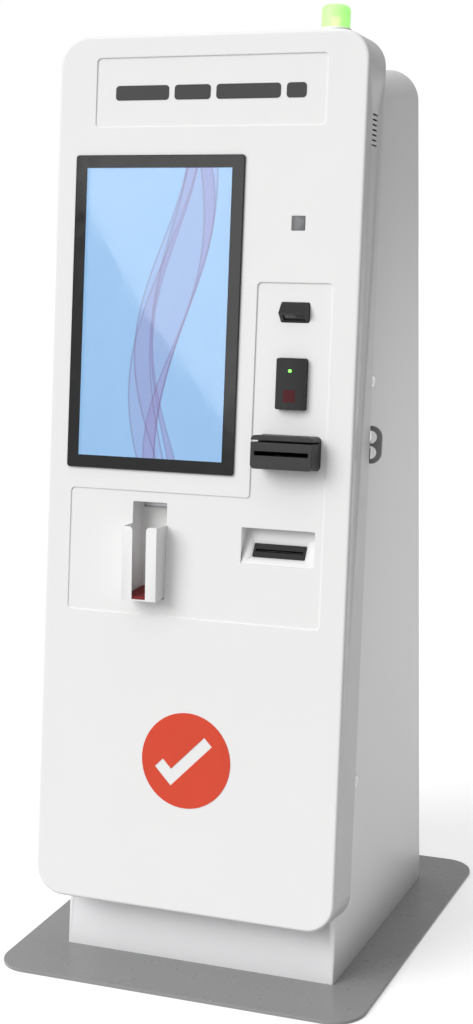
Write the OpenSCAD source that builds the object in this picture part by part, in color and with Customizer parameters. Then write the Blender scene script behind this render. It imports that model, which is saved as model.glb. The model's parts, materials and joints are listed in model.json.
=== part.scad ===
// Self-service check-in kiosk: a sloping door that carries the customer's devices,
// hinged on a sheet-steel cabinet that stands on a floor plate.
// Millimetres, +Z up, the customer stands at -Y, origin under the centre of the floor plate.

/* [Floor plate and cabinet] */
// Width of the floor plate
plate_w = 660; // [620:1:800]
// Depth of the floor plate
plate_d = 710; // [690:1:860]
// Thickness of the floor plate
plate_t = 6; // [5:0.5:12]
// Corner radius of the floor plate
plate_r = 55; // [20:1:90]
// Width of the cabinet
cab_w = 494; // [460:1:600]
// Depth of the cabinet where it meets the floor plate
cab_d = 485; // [460:1:560]
// Height of the cabinet above the floor plate
cab_h = 1487; // [1460:1:1650]
// Sheet thickness of the cabinet
cab_wall = 2; // [1.5:0.5:3]
// Radius of the cabinet's two top corners
cab_r = 54; // [30:1:70]
// Distance from the floor plate's back edge to the cabinet's back
cab_setback = 100; // [60:1:110]
// Lean of the front, in degrees from upright
lean = 8.85; // [6:0.05:10]

/* [Door] */
// Width of the door
door_w = 543; // [540:1:640]
// Length of the door along the slope
door_h = 1449; // [1440:1:1500]
// Thickness of the door
door_t = 84; // [78:1:96]
// Sheet thickness of the door
door_wall = 2.5; // [2:0.5:4]
// Corner radius of the door
door_r = 50; // [30:1:70]
// Height of the door's lower edge above the floor plate, along the slope
door_rise = 107.6; // [90:0.1:130]
// Air between the closed door and the cabinet
door_gap = 0.8; // [0.7:0.1:2]
// Width of the opening in the door's back and in the cabinet's front
door_way = 456; // [440:1:460]

/* [Shallow panels] */
// Depth of the shallow panels at their top edge
panel_dip = 2.4; // [1.5:0.1:5]
// Depth of the shallow panels at their foot
panel_foot = 1.6; // [1:0.1:3]
// Width of the header panel
header_w = 406; // [340:1:440]
// Height of the header panel's foot
header_lo = 1300; // [1280:1:1320]
// Height of the header panel's top edge
header_hi = 1412.5; // [1390:0.5:1420]
// Corner radius of the shallow panels
panel_r = 7; // [4:1:12]
// Height of the device panel's foot
dev_lo = 495; // [470:1:510]
// Height of the device panel's top edge
dev_hi = 1049.3; // [1045:0.1:1100]
// Height of the device panel's step
dev_step = 700.5; // [695:0.5:720]
// Half-width of the device panel
dev_half = 226.5; // [220:0.5:232]
// Left side of the device panel's upright
dev_inner = 97.5; // [94:0.5:100]

/* [Display] */
// Width of the lit area
lcd_w = 261; // [240:1:262]
// Height of the lit area
lcd_h = 476.5; // [440:0.5:480]
// Centre of the display across the door
lcd_x = -83; // [-84:1:-80]
// Centre of the display up the door
lcd_s = 994.3; // [990:0.1:1000]
// Width of the frame around the lit area
bezel_b = 21; // [18:1:22]
// Height of that frame above the door's face
bezel_proud = 4; // [2:0.5:6]

/* [Devices] */
// Centre line of the upright row of devices
dev_x = 163.5; // [162:0.5:165]
// Height of the camera window's centre
cam_s = 1144.3; // [1110:0.1:1170]
// Side of the camera window
cam_w = 22.5; // [18:0.5:28]
// Height of the code scanner's centre
scan_s = 1002.5; // [995:0.5:1010]
// Width of the code scanner
scan_w = 49; // [40:1:60]
// Height of the code scanner
scan_h = 32; // [26:1:36]
// Reach of the scanner's nose in front of the door's face
scan_nose = 11; // [8:1:14]
// Height of the contactless reader's centre
tap_s = 888; // [880:1:900]
// Width of the contactless reader
tap_w = 50; // [44:1:60]
// Height of the contactless reader
tap_h = 82; // [70:1:90]
// Height of the card reader's centre
card_s = 778; // [772:1:790]
// Width of the card reader
card_w = 105.4; // [102:0.2:112]
// Height of the card reader
card_h = 54; // [52:1:60]
// Reach of the card reader in front of the door's face
card_proud = 38; // [32:1:44]
// Width of the card slot
card_slot_w = 92; // [88:1:94]
// Height of the card slot
card_slot_h = 7; // [6:0.5:8]

/* [Printer] */
// Centre of the printer pocket across the door
print_x = 149; // [146:1:152]
// Height of the printer pocket's lower edge
print_s = 592.6; // [585:0.1:600]
// Width of the printer pocket
print_w = 126.5; // [124:0.5:130]
// Height of the printer pocket
print_h = 59.4; // [56:0.2:64]
// Depth of the printer pocket at its top
print_dip = 28; // [26:1:32]
// Diameter of the paper roll
roll_d = 70; // [50:1:74]

/* [Badge dispenser] */
// Centre of the badge pocket across the door
badge_x = -80; // [-84:1:-76]
// Width of the badge pocket
badge_w = 61.4; // [58:0.2:68]
// Height of the badge tray's lower edge
badge_lo = 521; // [515:1:530]
// Height of the badge tray's upper edge
badge_mid = 644; // [630:1:650]
// Height of the badge pocket's upper edge
badge_hi = 683; // [680:1:690]
// Depth of the badge pocket
badge_dip = 40; // [36:1:44]
// Depth of the badge pocket at its foot
badge_foot = 46; // [40:1:50]
// Reach of the tray at its upper edge
tray_top_out = 38; // [32:1:44]
// Reach of the tray at its lower edge
tray_low_out = 33; // [26:1:40]
// Height of the stack of blank badges
stack_h = 58; // [30:1:70]

/* [Locks, beacon and marks] */
// Heights of the four lock axes up the door
lock_s = [897.5, 806, 778, 223.7];
// Lengths of the four lock tongues
tongue_len = [30, 18, 18, 30];
// Distance of the small locks behind the cabinet's front
lock_d = 71; // [66:1:76]
// Distance of the key and the knob behind the cabinet's front
latch_d = 52; // [48:1:61]
// Height of the padlock ear's centre
ear_s = 793.5; // [790:0.5:797]
// Distance between the ear's two holes
ear_pitch = 25.2; // [24:0.2:28]
// Radius of the ear's holes
ear_hole_r = 10.5; // [8:0.5:11]
// Width of the metal round the ear's holes
ear_rim = 8; // [6:0.5:10]
// Centre of the beacon across the door
beacon_x = 198; // [180:1:205]
// Height of the beacon's lens
beacon_h = 37; // [25:1:50]
// Radius of the beacon's lens
beacon_r = 23.2; // [18:0.2:28]
// Radius of the round mark
mark_r = 80; // [50:1:100]
// Height of the round mark's centre
mark_s = 257.6; // [240:0.2:300]

/* [Hidden] */
$fn = 48;
eps = 0.01;
fit = 0.3;          // air between a loose piece and its seat
run = 0.05;         // radial air around a turning shaft
cab_back = plate_d / 2 - cab_setback;
cab_front = cab_back - cab_d;
cab_top = plate_t + cab_h;
door_hx = door_w / 2;
cab_hx = cab_w / 2;
way_x = door_way / 2;
cab_way_x = way_x + 7;
way_lo = 24;        // lower edge of the door's back opening, up the door
way_hi = 1372;      // upper edge of the door's back opening
cab_way_lo = way_lo + door_rise - 6;
cab_way_hi = way_hi + door_rise - 6;
seal_t = 0.5;
seal_b = 7;
depth_of = door_t + door_gap;   // from the door's face to the cabinet's front

hinge_x = -cab_hx - 7;
hinge_d = 7;
hinge_r = 6;
hinge_pin_r = 3;
hinge_leaf = 3;
hinge_s = [190, 1330];
hinge_knuckle = 30;
hinge_ear = 20;

lock_body_r = 8;
lock_plug_r = 5;
lock_head_r = 9.5;
lock_head_t = 1.5;
tongue_t = 3;
tongue_b = 12;
tongue_in = 33;
tongue_x = cab_hx - tongue_in;
plate_latch_b = 30;
plate_latch_t = 3;
ear_t = 6;
ear_r = ear_hole_r + ear_rim;
ear_d = door_t + 20;
keeper_t = 3;
keeper_x = tongue_x - 9;

glass_t = 3.5;
glass_lap = 6.5;
panel_t = 12;
case_deep = 40;
case_wall = 2;
case_lap = 3;

pocket_wall = 2;
print_tilt = atan(print_dip / print_h);
print_y = sunk(print_s);   // depth of the panel at the pocket's lower edge
print_bezel_w = 91;
print_bezel_h = 24;
print_slot_w = 82;
print_slot_h = 4.6;
print_mid = 25.5;   // centre of the paper slot, up the pocket's floor
print_body_w = 114;
print_body = [7, 130];
print_body_z = [-4, 84];
roll_y = 84;
roll_z = 38;
roll_w = 80;
lid_pin_y = print_body[1] + 4;
lid_pin_z = print_body_z[1] + 2;
lid_pin_r = 1.5;
platen_r = 8;
platen_y = 24;

tray_wall = 2;
tray_slot = 24.7;
pad_t = 4;
hopper_wall = 2;
card_size = [54, 86, 0.8];
hopper_y0 = badge_dip + pocket_wall + fit;
hopper_in = [card_size[0] + 1.6, card_size[1] + 1.4];
hopper_floor = badge_hi - 10;
hopper_top = hopper_floor + 96;
feed_r = 8;

reader_y0 = 11;
reader_y1 = 76;
reader_wall = 3;
reader_in_w = 96;
reader_in_h = 44;
reader_roll_r = 10;
reader_roll_y = 46;

beacon_base_r = 25.5;
beacon_base_h = 7;
beacon_y = door_t / 2;
lens_wall = 2.2;
stem_r = 8;

shelf_z = 430;
pc_size = [240, 230, 58];
fan_side = 120;
fan_t = 25;
fan_z = 1210;
panel_x = 190;
panel_z = [200, 1330];
inlet_z = 110;
inlet_x = 0;

// ---- helpers ----

// Box between pairs of limits.
module span(x, y, z) {
    translate([x[0], y[0], z[0]])
        cube([x[1] - x[0], y[1] - y[0], z[1] - z[0]]);
}

// Rectangle with round corners.
module round_rect(x, y, r) {
    translate([x[0] + r, y[0]])
        square([x[1] - x[0] - 2 * r, y[1] - y[0]]);
    translate([x[0], y[0] + r])
        square([x[1] - x[0], y[1] - y[0] - 2 * r]);
    for (cx = [x[0] + r, x[1] - r], cy = [y[0] + r, y[1] - r])
        translate([cx, cy]) circle(r);
}

// Flat shape given in X and Z, made thick from y[0] to y[1].
module along_y(y) {
    translate([0, y[1], 0])
        rotate([90, 0, 0])
            linear_extrude(y[1] - y[0]) children();
}

// Flat shape given in Y and Z, made thick from x[0] to x[1].
module along_x(x) {
    translate([x[0], 0, 0])
        rotate([90, 0, 90])
            linear_extrude(x[1] - x[0]) children();
}

// Slab with round corners seen from the front.
module slab(x, y, z, r) {
    along_y(y) round_rect(x, z, r);
}

// Round bar along X between two limits.
module bar_x(x, y, z, r) {
    translate([x[0], y, z])
        rotate([0, 90, 0])
            cylinder(h = x[1] - x[0], r = r);
}

// Frame of the cabinet's sloping front: y runs inwards, z runs up the slope.
module on_front() {
    translate([0, cab_front, plate_t])
        rotate([-lean, 0, 0]) children();
}

// Frame of the door's outer face, from its lower edge.
module on_door() {
    on_front()
        translate([0, -depth_of, door_rise]) children();
}

// Pair of limits around a centre.
function around(c, w) = [c - w / 2, c + w / 2];

// Depth of the device panel's floor, at a height s.
function sunk(s) = panel_foot + (panel_dip - panel_foot) * (s - dev_lo) / (dev_hi - dev_lo);

// Depth of the sheet's inner face behind it.
function inside(s) = door_wall + panel_foot
    + (panel_dip - panel_foot) * (s - dev_lo + door_wall) / (dev_hi - dev_lo + 2 * door_wall);

// Depth at which a flange that reaches up to s lies on that face.
function seat(s) = inside(s) + fit;

// ---- floor plate and cabinet ----

anchor_pitch = [300, 320];
anchor_r = 6.5;
anchor_y = (cab_front + cab_back) / 2;
bolt_x = [-200, 0, 200];
bolt_y = [cab_front + 60, cab_back - 60];

// Places of the holes for floor anchors.
module at_anchors() {
    for (x = around(0, anchor_pitch[0]), y = around(anchor_y, anchor_pitch[1]))
        translate([x, y, 0]) children();
}

// Places of the bolts that hold the cabinet on the plate.
module at_plinth_bolts() {
    for (x = bolt_x, y = bolt_y)
        translate([x, y, 0]) children();
}

module base_plate() {
    color("dimgray")
        difference() {
            linear_extrude(plate_t)
                round_rect(around(0, plate_w), around(0, plate_d), plate_r);
            at_anchors() translate([0, 0, -1]) cylinder(h = plate_t + 2, r = anchor_r);
            at_plinth_bolts() translate([0, 0, 1]) cylinder(h = plate_t, r = 4);
        }
}

module plinth_bolts() {
    color("silver")
        at_plinth_bolts() {
            translate([0, 0, 1.2]) cylinder(h = plate_t + cab_wall, r = 3.9);
            translate([0, 0, plate_t + cab_wall]) cylinder(h = 5.5, r = 6.5);
        }
}

// Side outline of the cabinet with every wall moved in by t.
module cabinet_side(t) {
    rise = tan(lean);
    shift = t / cos(lean);
    polygon([
        [cab_front + shift + t * rise, plate_t + t],
        [cab_back - t, plate_t + t],
        [cab_back - t, cab_top - t],
        [cab_front + shift + (cab_h - t) * rise, cab_top - t]]);
}

// Front outline of the cabinet with every wall moved in by t.
module cabinet_front(t) {
    round_rect([-cab_hx + t, cab_hx - t], [cab_h / 2, cab_top - t], cab_r - t);
    translate([-cab_hx + t, plate_t + t])
        square([cab_w - 2 * t, cab_h / 2 + cab_r]);
}

module cabinet_block(t) {
    intersection() {
        along_x([-cab_hx + t, cab_hx - t]) cabinet_side(t);
        along_y([cab_front - 1, cab_back + 1]) cabinet_front(t);
    }
}

module cabinet_body() {
    color("white")
        difference() {
            cabinet_block(0);
            cabinet_block(cab_wall);
            on_front()
                span([-cab_way_x, cab_way_x], [-1, cab_wall + 1], [cab_way_lo, cab_way_hi]);
            span([-panel_x, panel_x], [cab_back - cab_wall - 1, cab_back + 1], panel_z);
            span(around(inlet_x, 28.6), [cab_back - cab_wall - 1, cab_back + 1],
                around(inlet_z, 48.6));
            at_anchors() cylinder(h = 40, r = anchor_r);
            at_plinth_bolts() cylinder(h = 40, r = 4);
            at_rear_screws() rotate([-90, 0, 0])
                translate([0, 0, -cab_wall - 1]) cylinder(h = 20, r = 2.1);
            on_door() {
                for (i = [0, 3])
                    bar_x([way_x, cab_hx + 5], lock_y(i), lock_s[i], lock_body_r + run);
                for (i = [1, 2])
                    bar_x([way_x, cab_hx + 5], lock_y(i), lock_s[i], lock_plug_r + run);
            }
        }
}

module door_seal() {
    color("black")
        on_front()
            along_y([-seal_t, 0])
                difference() {
                    translate([-cab_way_x - seal_b, cab_way_lo - seal_b])
                        square([2 * (cab_way_x + seal_b), cab_way_hi - cab_way_lo + 2 * seal_b]);
                    translate([-cab_way_x, cab_way_lo])
                        square([2 * cab_way_x, cab_way_hi - cab_way_lo]);
                }
}

rear_lap = 12;
rear_t = 1.5;

// Places of the service panel's screws, on the cabinet's back face.
module at_rear_screws() {
    for (x = [-panel_x - rear_lap / 2, panel_x + rear_lap / 2],
         z = [panel_z[0] + 60, (panel_z[0] + panel_z[1]) / 2, panel_z[1] - 60])
        translate([x, cab_back, z]) children();
}

module rear_panel() {
    color("white")
        difference() {
            slab([-panel_x - rear_lap, panel_x + rear_lap], [cab_back, cab_back + rear_t],
                [panel_z[0] - rear_lap, panel_z[1] + rear_lap], 8);
            for (row = [0 : 9], x = [-110, 10])
                span([x, x + 100], [cab_back - 1, cab_back + rear_t + 1],
                    [360 + 16 * row, 366 + 16 * row]);
            for (k = [-4 : 4])
                span([11 * k - 3, 11 * k + 3], [cab_back - 1, cab_back + rear_t + 1],
                    around(fan_z, 2 * sqrt(52 * 52 - 121 * k * k)));
            at_rear_screws() rotate([-90, 0, 0]) cylinder(h = 5, r = 2.1);
        }
}

module rear_panel_screws() {
    color("silver")
        at_rear_screws() rotate([-90, 0, 0]) {
            translate([0, 0, rear_t]) cylinder(h = 2.4, r = 3.8);
            translate([0, 0, -cab_wall - 3]) cylinder(h = rear_t + cab_wall + 3.1, r = 2);
        }
}

// ---- hinges ----

// Hinge knuckle between two heights, bored for the pin.
module knuckle(s, bore) {
    translate([hinge_x, hinge_d, s[0]])
        difference() {
            cylinder(h = s[1] - s[0], r = hinge_r);
            translate([0, 0, -1]) cylinder(h = s[1] - s[0] + 2, r = bore);
        }
}

module hinge_cabinet_leaves() {
    color("silver")
        on_front()
            for (s = hinge_s) {
                span([-cab_hx - hinge_leaf, -cab_hx], [hinge_d + hinge_r, hinge_d + 34],
                    around(s, hinge_knuckle + 2 * hinge_ear + 1));
                for (k = [-1, 1]) {
                    ear = around(s + k * (hinge_knuckle + hinge_ear + 1) / 2, hinge_ear);
                    knuckle(ear, hinge_pin_r);
                    span([-cab_hx - hinge_leaf, -cab_hx], [hinge_d, hinge_d + hinge_r + 1], ear);
                }
            }
}

module hinge_pins() {
    color("gray")
        on_front()
            for (s = hinge_s)
                translate([hinge_x, hinge_d, s - hinge_knuckle / 2 - hinge_ear - 2])
                    cylinder(h = hinge_knuckle + 2 * hinge_ear + 4, r = hinge_pin_r);
}

module hinge_door_leaves() {
    color("silver")
        on_front()
            for (s = hinge_s) {
                knuckle(around(s, hinge_knuckle), hinge_pin_r + run);
                difference() {
                    span([-door_hx + 2, hinge_x], [-door_gap, -door_gap + hinge_leaf],
                        around(s, hinge_knuckle));
                    translate([hinge_x, hinge_d, s - hinge_knuckle])
                        cylinder(h = 2 * hinge_knuckle, r = hinge_pin_r + run);
                }
            }
}

// ---- locks ----

// Depth of a lock's axis, in the door's frame: small locks at both ends, key and knob between.
function lock_y(i) = depth_of + (i == 0 || i == 3 ? lock_d : latch_d);

// Frame of one lock: x outwards from the cabinet's side, origin on its axis.
module at_lock(i) {
    on_door() translate([cab_hx, lock_y(i), lock_s[i]]) children();
}

module lock_barrels() {
    color("silver")
        for (i = [0, 3])
            at_lock(i)
                difference() {
                    union() {
                        bar_x([-23, 0.5], 0, 0, lock_body_r);
                        bar_x([0, lock_head_t], 0, 0, lock_head_r);
                        bar_x([-cab_wall - 4, -cab_wall], 0, 0, lock_head_r + 2);
                    }
                    bar_x([-24, lock_head_t + 1], 0, 0, lock_plug_r + run);
                }
}

// Turning core with a key slot, reaching in to its tongue.
module lock_core(i, out, head_r) {
    at_lock(i)
        difference() {
            union() {
                bar_x([-tongue_in - 4, out], 0, 0, lock_plug_r);
                bar_x([out - 1.5, out], 0, 0, head_r);
            }
            span([out - 1, out + 1], around(0, 1.4), around(0, 6));
        }
}

// Tongue on the core's inner end, pointing at the door while the lock is open.
module tongue(i) {
    at_lock(i)
        difference() {
            union() {
                bar_x([-tongue_in, tongue_t - tongue_in], 0, 0, 8);
                span([-tongue_in, tongue_t - tongue_in], [-tongue_len[i], 0], around(0, tongue_b));
            }
            bar_x([-tongue_in - 5, -20], 0, 0, lock_plug_r);
        }
}

// Core of a small cam lock with its tongue.
module cam_lock(i) {
    color("silver") lock_core(i, lock_head_t, lock_plug_r);
    color("gray") tongue(i);
}

module upper_lock_core() {
    cam_lock(0);
}

module lower_lock_core() {
    cam_lock(3);
}

module key_cylinder() {
    color("lightgray") lock_core(1, plate_latch_t + 2, 11);
}

module key_tongue() {
    color("gray") tongue(1);
}

module latch_tongue() {
    color("gray") tongue(2);
}

module latch_knob() {
    color("lightgray")
        at_lock(2) {
            bar_x([-tongue_in - 4, plate_latch_t + 2], 0, 0, lock_plug_r);
            bar_x([plate_latch_t + fit, plate_latch_t + 2], 0, 0, 11);
            span([plate_latch_t + 2 - eps, plate_latch_t + 6], around(0, 4), around(0, 18));
        }
}

// Angled plate: one leg lies on the cabinet's side, and an ear with two padlock holes stands out.
module latch_plate() {
    half = (lock_s[1] - lock_s[2] + plate_latch_b) / 2;
    mid = (lock_s[1] + lock_s[2]) / 2;
    color("gray")
        on_door() {
            difference() {
                along_x([cab_hx, cab_hx + plate_latch_t]) {
                    translate([ear_d + 1, mid - half]) square([lock_y(1) - ear_d - 1, 2 * half]);
                    for (i = [1, 2])
                        translate([lock_y(i), lock_s[i]]) circle(plate_latch_b / 2);
                    translate([lock_y(1), lock_s[2]])
                        square([plate_latch_b / 2, lock_s[1] - lock_s[2]]);
                }
                for (i = [1, 2])
                    bar_x([cab_hx - 1, cab_hx + 9], lock_y(i), lock_s[i], lock_plug_r + run);
            }
            along_y([ear_d, ear_d + ear_t])
                difference() {
                    union() {
                        translate([cab_hx, ear_s - ear_pitch / 2 - ear_r])
                            square([ear_r, ear_pitch + 2 * ear_r]);
                        translate([cab_hx + ear_r, ear_s - ear_pitch / 2])
                            square([ear_r, ear_pitch]);
                        for (k = [-1, 1])
                            translate([cab_hx + ear_r, ear_s + k * ear_pitch / 2]) circle(ear_r);
                    }
                    for (k = [-1, 1])
                        translate([cab_hx + ear_r, ear_s + k * ear_pitch / 2]) circle(ear_hole_r);
                }
        }
}

// Arms on the door that the tongues turn in front of.
module door_keepers() {
    near = door_t - door_wall;
    color("silver")
        on_door()
            for (i = [0 : 3]) {
                s = [lock_s[i] - tongue_len[i] + 1, lock_s[i] - 9.5];
                far = lock_y(i) + tongue_b / 2 + fit;
                span([keeper_x, keeper_x + keeper_t], [near - keeper_t, far + keeper_t], s);
                span([keeper_x, tongue_x + tongue_t + 3], [far, far + keeper_t], s);
                span([keeper_x, way_x + 20], [near - keeper_t, near], s);
            }
}

// ---- equipment in the cabinet ----

module equipment_shelf() {
    front = cab_front + (shelf_z - plate_t) * tan(lean) + 14;
    back = cab_back - cab_wall - fit;
    color("lightgray")
        difference() {
            span([-cab_hx + cab_wall + fit, cab_hx - cab_wall - fit], [front, back],
                [shelf_z - 20, shelf_z]);
            span([-cab_hx + cab_wall + 2, cab_hx - cab_wall - 2], [front + 2, back - 2],
                [shelf_z - 30, shelf_z - 2]);
        }
}

module computer_case() {
    color("black")
        difference() {
            translate([-pc_size[0] / 2 - 60, -10, shelf_z]) cube(pc_size);
            at_button() rotate([-90, 0, 0]) translate([0, 0, -1]) cylinder(h = 9, r = 7.3);
            for (k = [0 : 7])
                span([-60 + 12 * k, -54 + 12 * k], [-11, -6], [shelf_z + 12, shelf_z + 46]);
        }
}

// Place of the computer's start button, on its front.
module at_button() {
    translate([-pc_size[0] / 2 - 60 + 24, -10, shelf_z + pc_size[2] / 2]) children();
}

module computer_button() {
    color("silver")
        at_button() rotate([-90, 0, 0]) translate([0, 0, -2.5]) cylinder(h = 8, r = 7);
}

module power_supply() {
    color("silver")
        difference() {
            span([-160, -10], [-20, 150], [plate_t + cab_wall, plate_t + cab_wall + 86]);
            for (k = [0 : 8])
                span([-150 + 15 * k, -142 + 15 * k], [-21, -14],
                    [plate_t + cab_wall + 14, plate_t + cab_wall + 72]);
        }
}

module power_inlet() {
    color("black")
        difference() {
            union() {
                slab(around(inlet_x, 34), [cab_back, cab_back + 3], around(inlet_z, 58), 4);
                span(around(inlet_x, 28), [cab_back - 32, cab_back + 1], around(inlet_z, 48));
            }
            span(around(inlet_x, 24), [cab_back - 16, cab_back + 4], [inlet_z - 22, inlet_z - 6]);
            span(around(inlet_x, 22.4), [cab_back - 10, cab_back + 4], [inlet_z + 5, inlet_z + 20]);
        }
    color("gold")
        for (x = [-7, 0, 7])
            span(around(inlet_x + x, 2), [cab_back - 17, cab_back - 2],
                around(inlet_z - 14, 4));
}

// Rocker that turns about its middle, resting with its upper half out.
module inlet_rocker() {
    color("crimson")
        translate([inlet_x, cab_back - 2, inlet_z + 12.5])
            along_x([-11, 11])
                rotate(-8) intersection() {
                    circle(7);
                    union() {
                        rotate(8) translate([-8, -9]) square([12, 9]);
                        rotate(-8) translate([-8, 0]) square([12, 9]);
                    }
                }
}

// Square fan housing: a ring, a hub plate with a blind bearing, and four arms.
module fan_frame() {
    h = fan_side / 2;
    hub = [cab_back - fan_t, cab_back - fan_t + 4];
    color("black")
        translate([0, 0, fan_z])
            difference() {
                union() {
                    difference() {
                        slab([-h, h], [cab_back - fan_t, cab_back], [-h, h], 6);
                        translate([0, cab_back + 1, 0]) rotate([90, 0, 0])
                            cylinder(h = fan_t + 2, r = h - 3);
                    }
                    along_y(hub) circle(22);
                    for (a = [45 : 90 : 315])
                        along_y(hub) rotate(a) translate([12, -3]) square([h - 13, 6]);
                }
                along_y([hub[0] + 1, hub[1] + 1]) circle(3 + run);
            }
}

module fan_rotor() {
    color("dimgray")
        translate([0, cab_back - fan_t + 4.6, fan_z]) rotate([-90, 0, 0]) {
            cylinder(h = 16, r = 21);
            translate([0, 0, -2.4]) cylinder(h = 3, r = 3);
            for (a = [0 : 51.42857 : 359])
                rotate([0, 0, a]) translate([19, 0, 8]) rotate([32, 0, 0])
                    translate([0, -9, -0.8]) cube([34, 18, 1.6]);
        }
}

// ---- door shell ----

// Side outline of a shallow panel, a little deeper at its top.
module dip(lo, hi) {
    polygon([[-1, lo], [panel_foot, lo], [panel_dip, hi], [-1, hi]]);
}

// The metal behind such a panel.
module dip_back(lo, hi) {
    w = door_wall;
    polygon([[0, lo - w], [panel_foot + w, lo - w], [panel_dip + w, hi + w], [0, hi + w]]);
}

// Front outline of the L-shaped device panel, grown by g.
module device_outline(g) {
    round_rect([-dev_half - g, dev_half + g], [dev_lo - g, dev_step + g], panel_r + g);
    round_rect([dev_inner - g, dev_half + g], [dev_lo - g, dev_hi + g], panel_r + g);
}

module header_outline(g) {
    round_rect([-header_w / 2 - g, header_w / 2 + g], [header_lo - g, header_hi + g], panel_r + g);
}

// Openings in the door's face, grown by the usual clearance.
module face_cuts() {
    y = [-5, 30];
    slab(around(lcd_x, lcd_w + 2 * glass_lap + 2), y, around(lcd_s, lcd_h + 2 * glass_lap + 2), 3);
    span(around(dev_x, cam_w + 2 * fit), y, around(cam_s, cam_w + 2 * fit));
    slab(around(dev_x, scan_w + 2 * fit), y, around(scan_s, scan_h + 2 * fit), 3);
    slab(around(dev_x, tap_w + 2 * fit), y, around(tap_s, tap_h + 2 * fit), 3);
    slab(around(dev_x, card_w + 2 * fit), y, around(card_s, card_h + 2 * fit), 7);
    along_x(around(print_x, print_w)) print_wedge(5);
    along_x(around(badge_x, badge_w))
        polygon([[y[0], tray_floor(y[0])], [y[1], tray_floor(y[1])], [y[1], badge_hi],
            [y[0], badge_hi]]);
}

vent_s = 1295;
vent_y = [28, 53];

module door_shell() {
    w = door_wall;
    color("white")
        on_door()
            difference() {
                union() {
                    difference() {
                        slab([-door_hx, door_hx], [0, door_t], [0, door_h], door_r);
                        slab([-door_hx + w, door_hx - w], [w, door_t - w], [w, door_h - w],
                            door_r - w);
                        span([-way_x, way_x], [door_t - w - 1, door_t + 1], [way_lo, way_hi]);
                    }
                    intersection() {
                        along_x([-door_hx, door_hx]) dip_back(header_lo, header_hi);
                        along_y([0, 20]) header_outline(w);
                    }
                    intersection() {
                        along_x([-door_hx, door_hx]) dip_back(dev_lo, dev_hi);
                        along_y([0, 20]) device_outline(w);
                    }
                }
                intersection() {
                    along_x([-door_hx, door_hx]) dip(header_lo, header_hi);
                    along_y([-2, 20]) header_outline(0);
                }
                intersection() {
                    along_x([-door_hx, door_hx]) dip(dev_lo, dev_hi);
                    along_y([-2, 20]) device_outline(0);
                }
                face_cuts();
                for (k = [-3 : 3])
                    span([door_hx - w - 1, door_hx + 1], vent_y, around(vent_s + 8 * k, 3));
                translate([beacon_x, beacon_y, door_h - w - 1])
                    cylinder(h = w + 2, r = stem_r + fit);
            }
}

// ---- display ----

module screen_bezel() {
    color("dimgray")
        on_door()
            difference() {
                slab(around(lcd_x, lcd_w + 2 * bezel_b), [-bezel_proud, 0],
                    around(lcd_s, lcd_h + 2 * bezel_b), 4);
                span(around(lcd_x, lcd_w), [-bezel_proud - 1, 1], around(lcd_s, lcd_h));
            }
}

// Glass with a raised middle that fills the frame to just under its face.
module touch_glass() {
    color("lightblue")
        on_door() {
            slab(around(lcd_x, lcd_w + 2 * glass_lap), [0, glass_t],
                around(lcd_s, lcd_h + 2 * glass_lap), 2);
            span(around(lcd_x, lcd_w - fit), [0.2 - bezel_proud, eps],
                around(lcd_s, lcd_h - fit));
        }
}

module lcd_panel() {
    color("skyblue")
        on_door()
            span(around(lcd_x, lcd_w + 2 * glass_lap + 6), [glass_t + fit, glass_t + panel_t],
                around(lcd_s, lcd_h + 2 * glass_lap + 6));
}

case_w = lcd_w + 2 * glass_lap + 12;
case_h = lcd_h + 2 * glass_lap + 12;

module monitor_case() {
    w = case_w;
    h = case_h;
    color("silver")
        on_door() {
            for (k = [0, 1], s = [lcd_s - 180, lcd_s + 180])
                translate([lcd_x, 0, 0])
                    mirror([k, 0, 0])
                        span([w / 2 - 1, w / 2 + 12], [door_wall, door_wall + 2], around(s, 24));
            difference() {
                span(around(lcd_x, w), [door_wall, case_deep], around(lcd_s, h));
                span(around(lcd_x, w - 2 * case_wall), [0, case_deep - case_wall],
                    around(lcd_s, h - 2 * case_wall));
                for (k = [-6 : 6])
                    span(around(lcd_x, 120), [case_deep - 5, case_deep + 1],
                        around(lcd_s + 60 + 12 * k, 5));
            }
        }
}

speaker_r = 24;

// Round speaker on the door's side wall, behind the slots.
module speaker() {
    x = door_hx - door_wall;
    y = (vent_y[0] + vent_y[1]) / 2;
    color("black")
        on_door()
            difference() {
                union() {
                    bar_x([x - 9, x], y, vent_s, speaker_r);
                    bar_x([x - 26, x - 8], y, vent_s, 13);
                }
                bar_x([x - 7, x + 1], y, vent_s, speaker_r - 3);
            }
}

// ---- camera, scanner and contactless reader ----

module camera_window() {
    color("gray")
        on_door()
            slab(around(dev_x, cam_w), [-0.5, door_wall], around(cam_s, cam_w), 2);
}

module camera_module() {
    color("black")
        on_door() {
            translate([dev_x, door_wall + fit, cam_s]) rotate([-90, 0, 0])
                cylinder(h = 18, r = 8);
            span(around(dev_x, 44), [door_wall + 16, door_wall + 20], around(cam_s, 40));
            for (x = around(dev_x, 34), s = around(cam_s, 30))
                translate([x, door_wall, s]) rotate([-90, 0, 0]) cylinder(h = 17, r = 3);
        }
}

scan_face = atan((scan_nose + 4) / (scan_h / 2 - 2));

// Frame of the scanner's lower face: z up the face, y into the hood.
module on_scan_face() {
    translate([dev_x, -scan_nose, scan_s - 2]) rotate([scan_face, 0, 0]) children();
}

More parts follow.
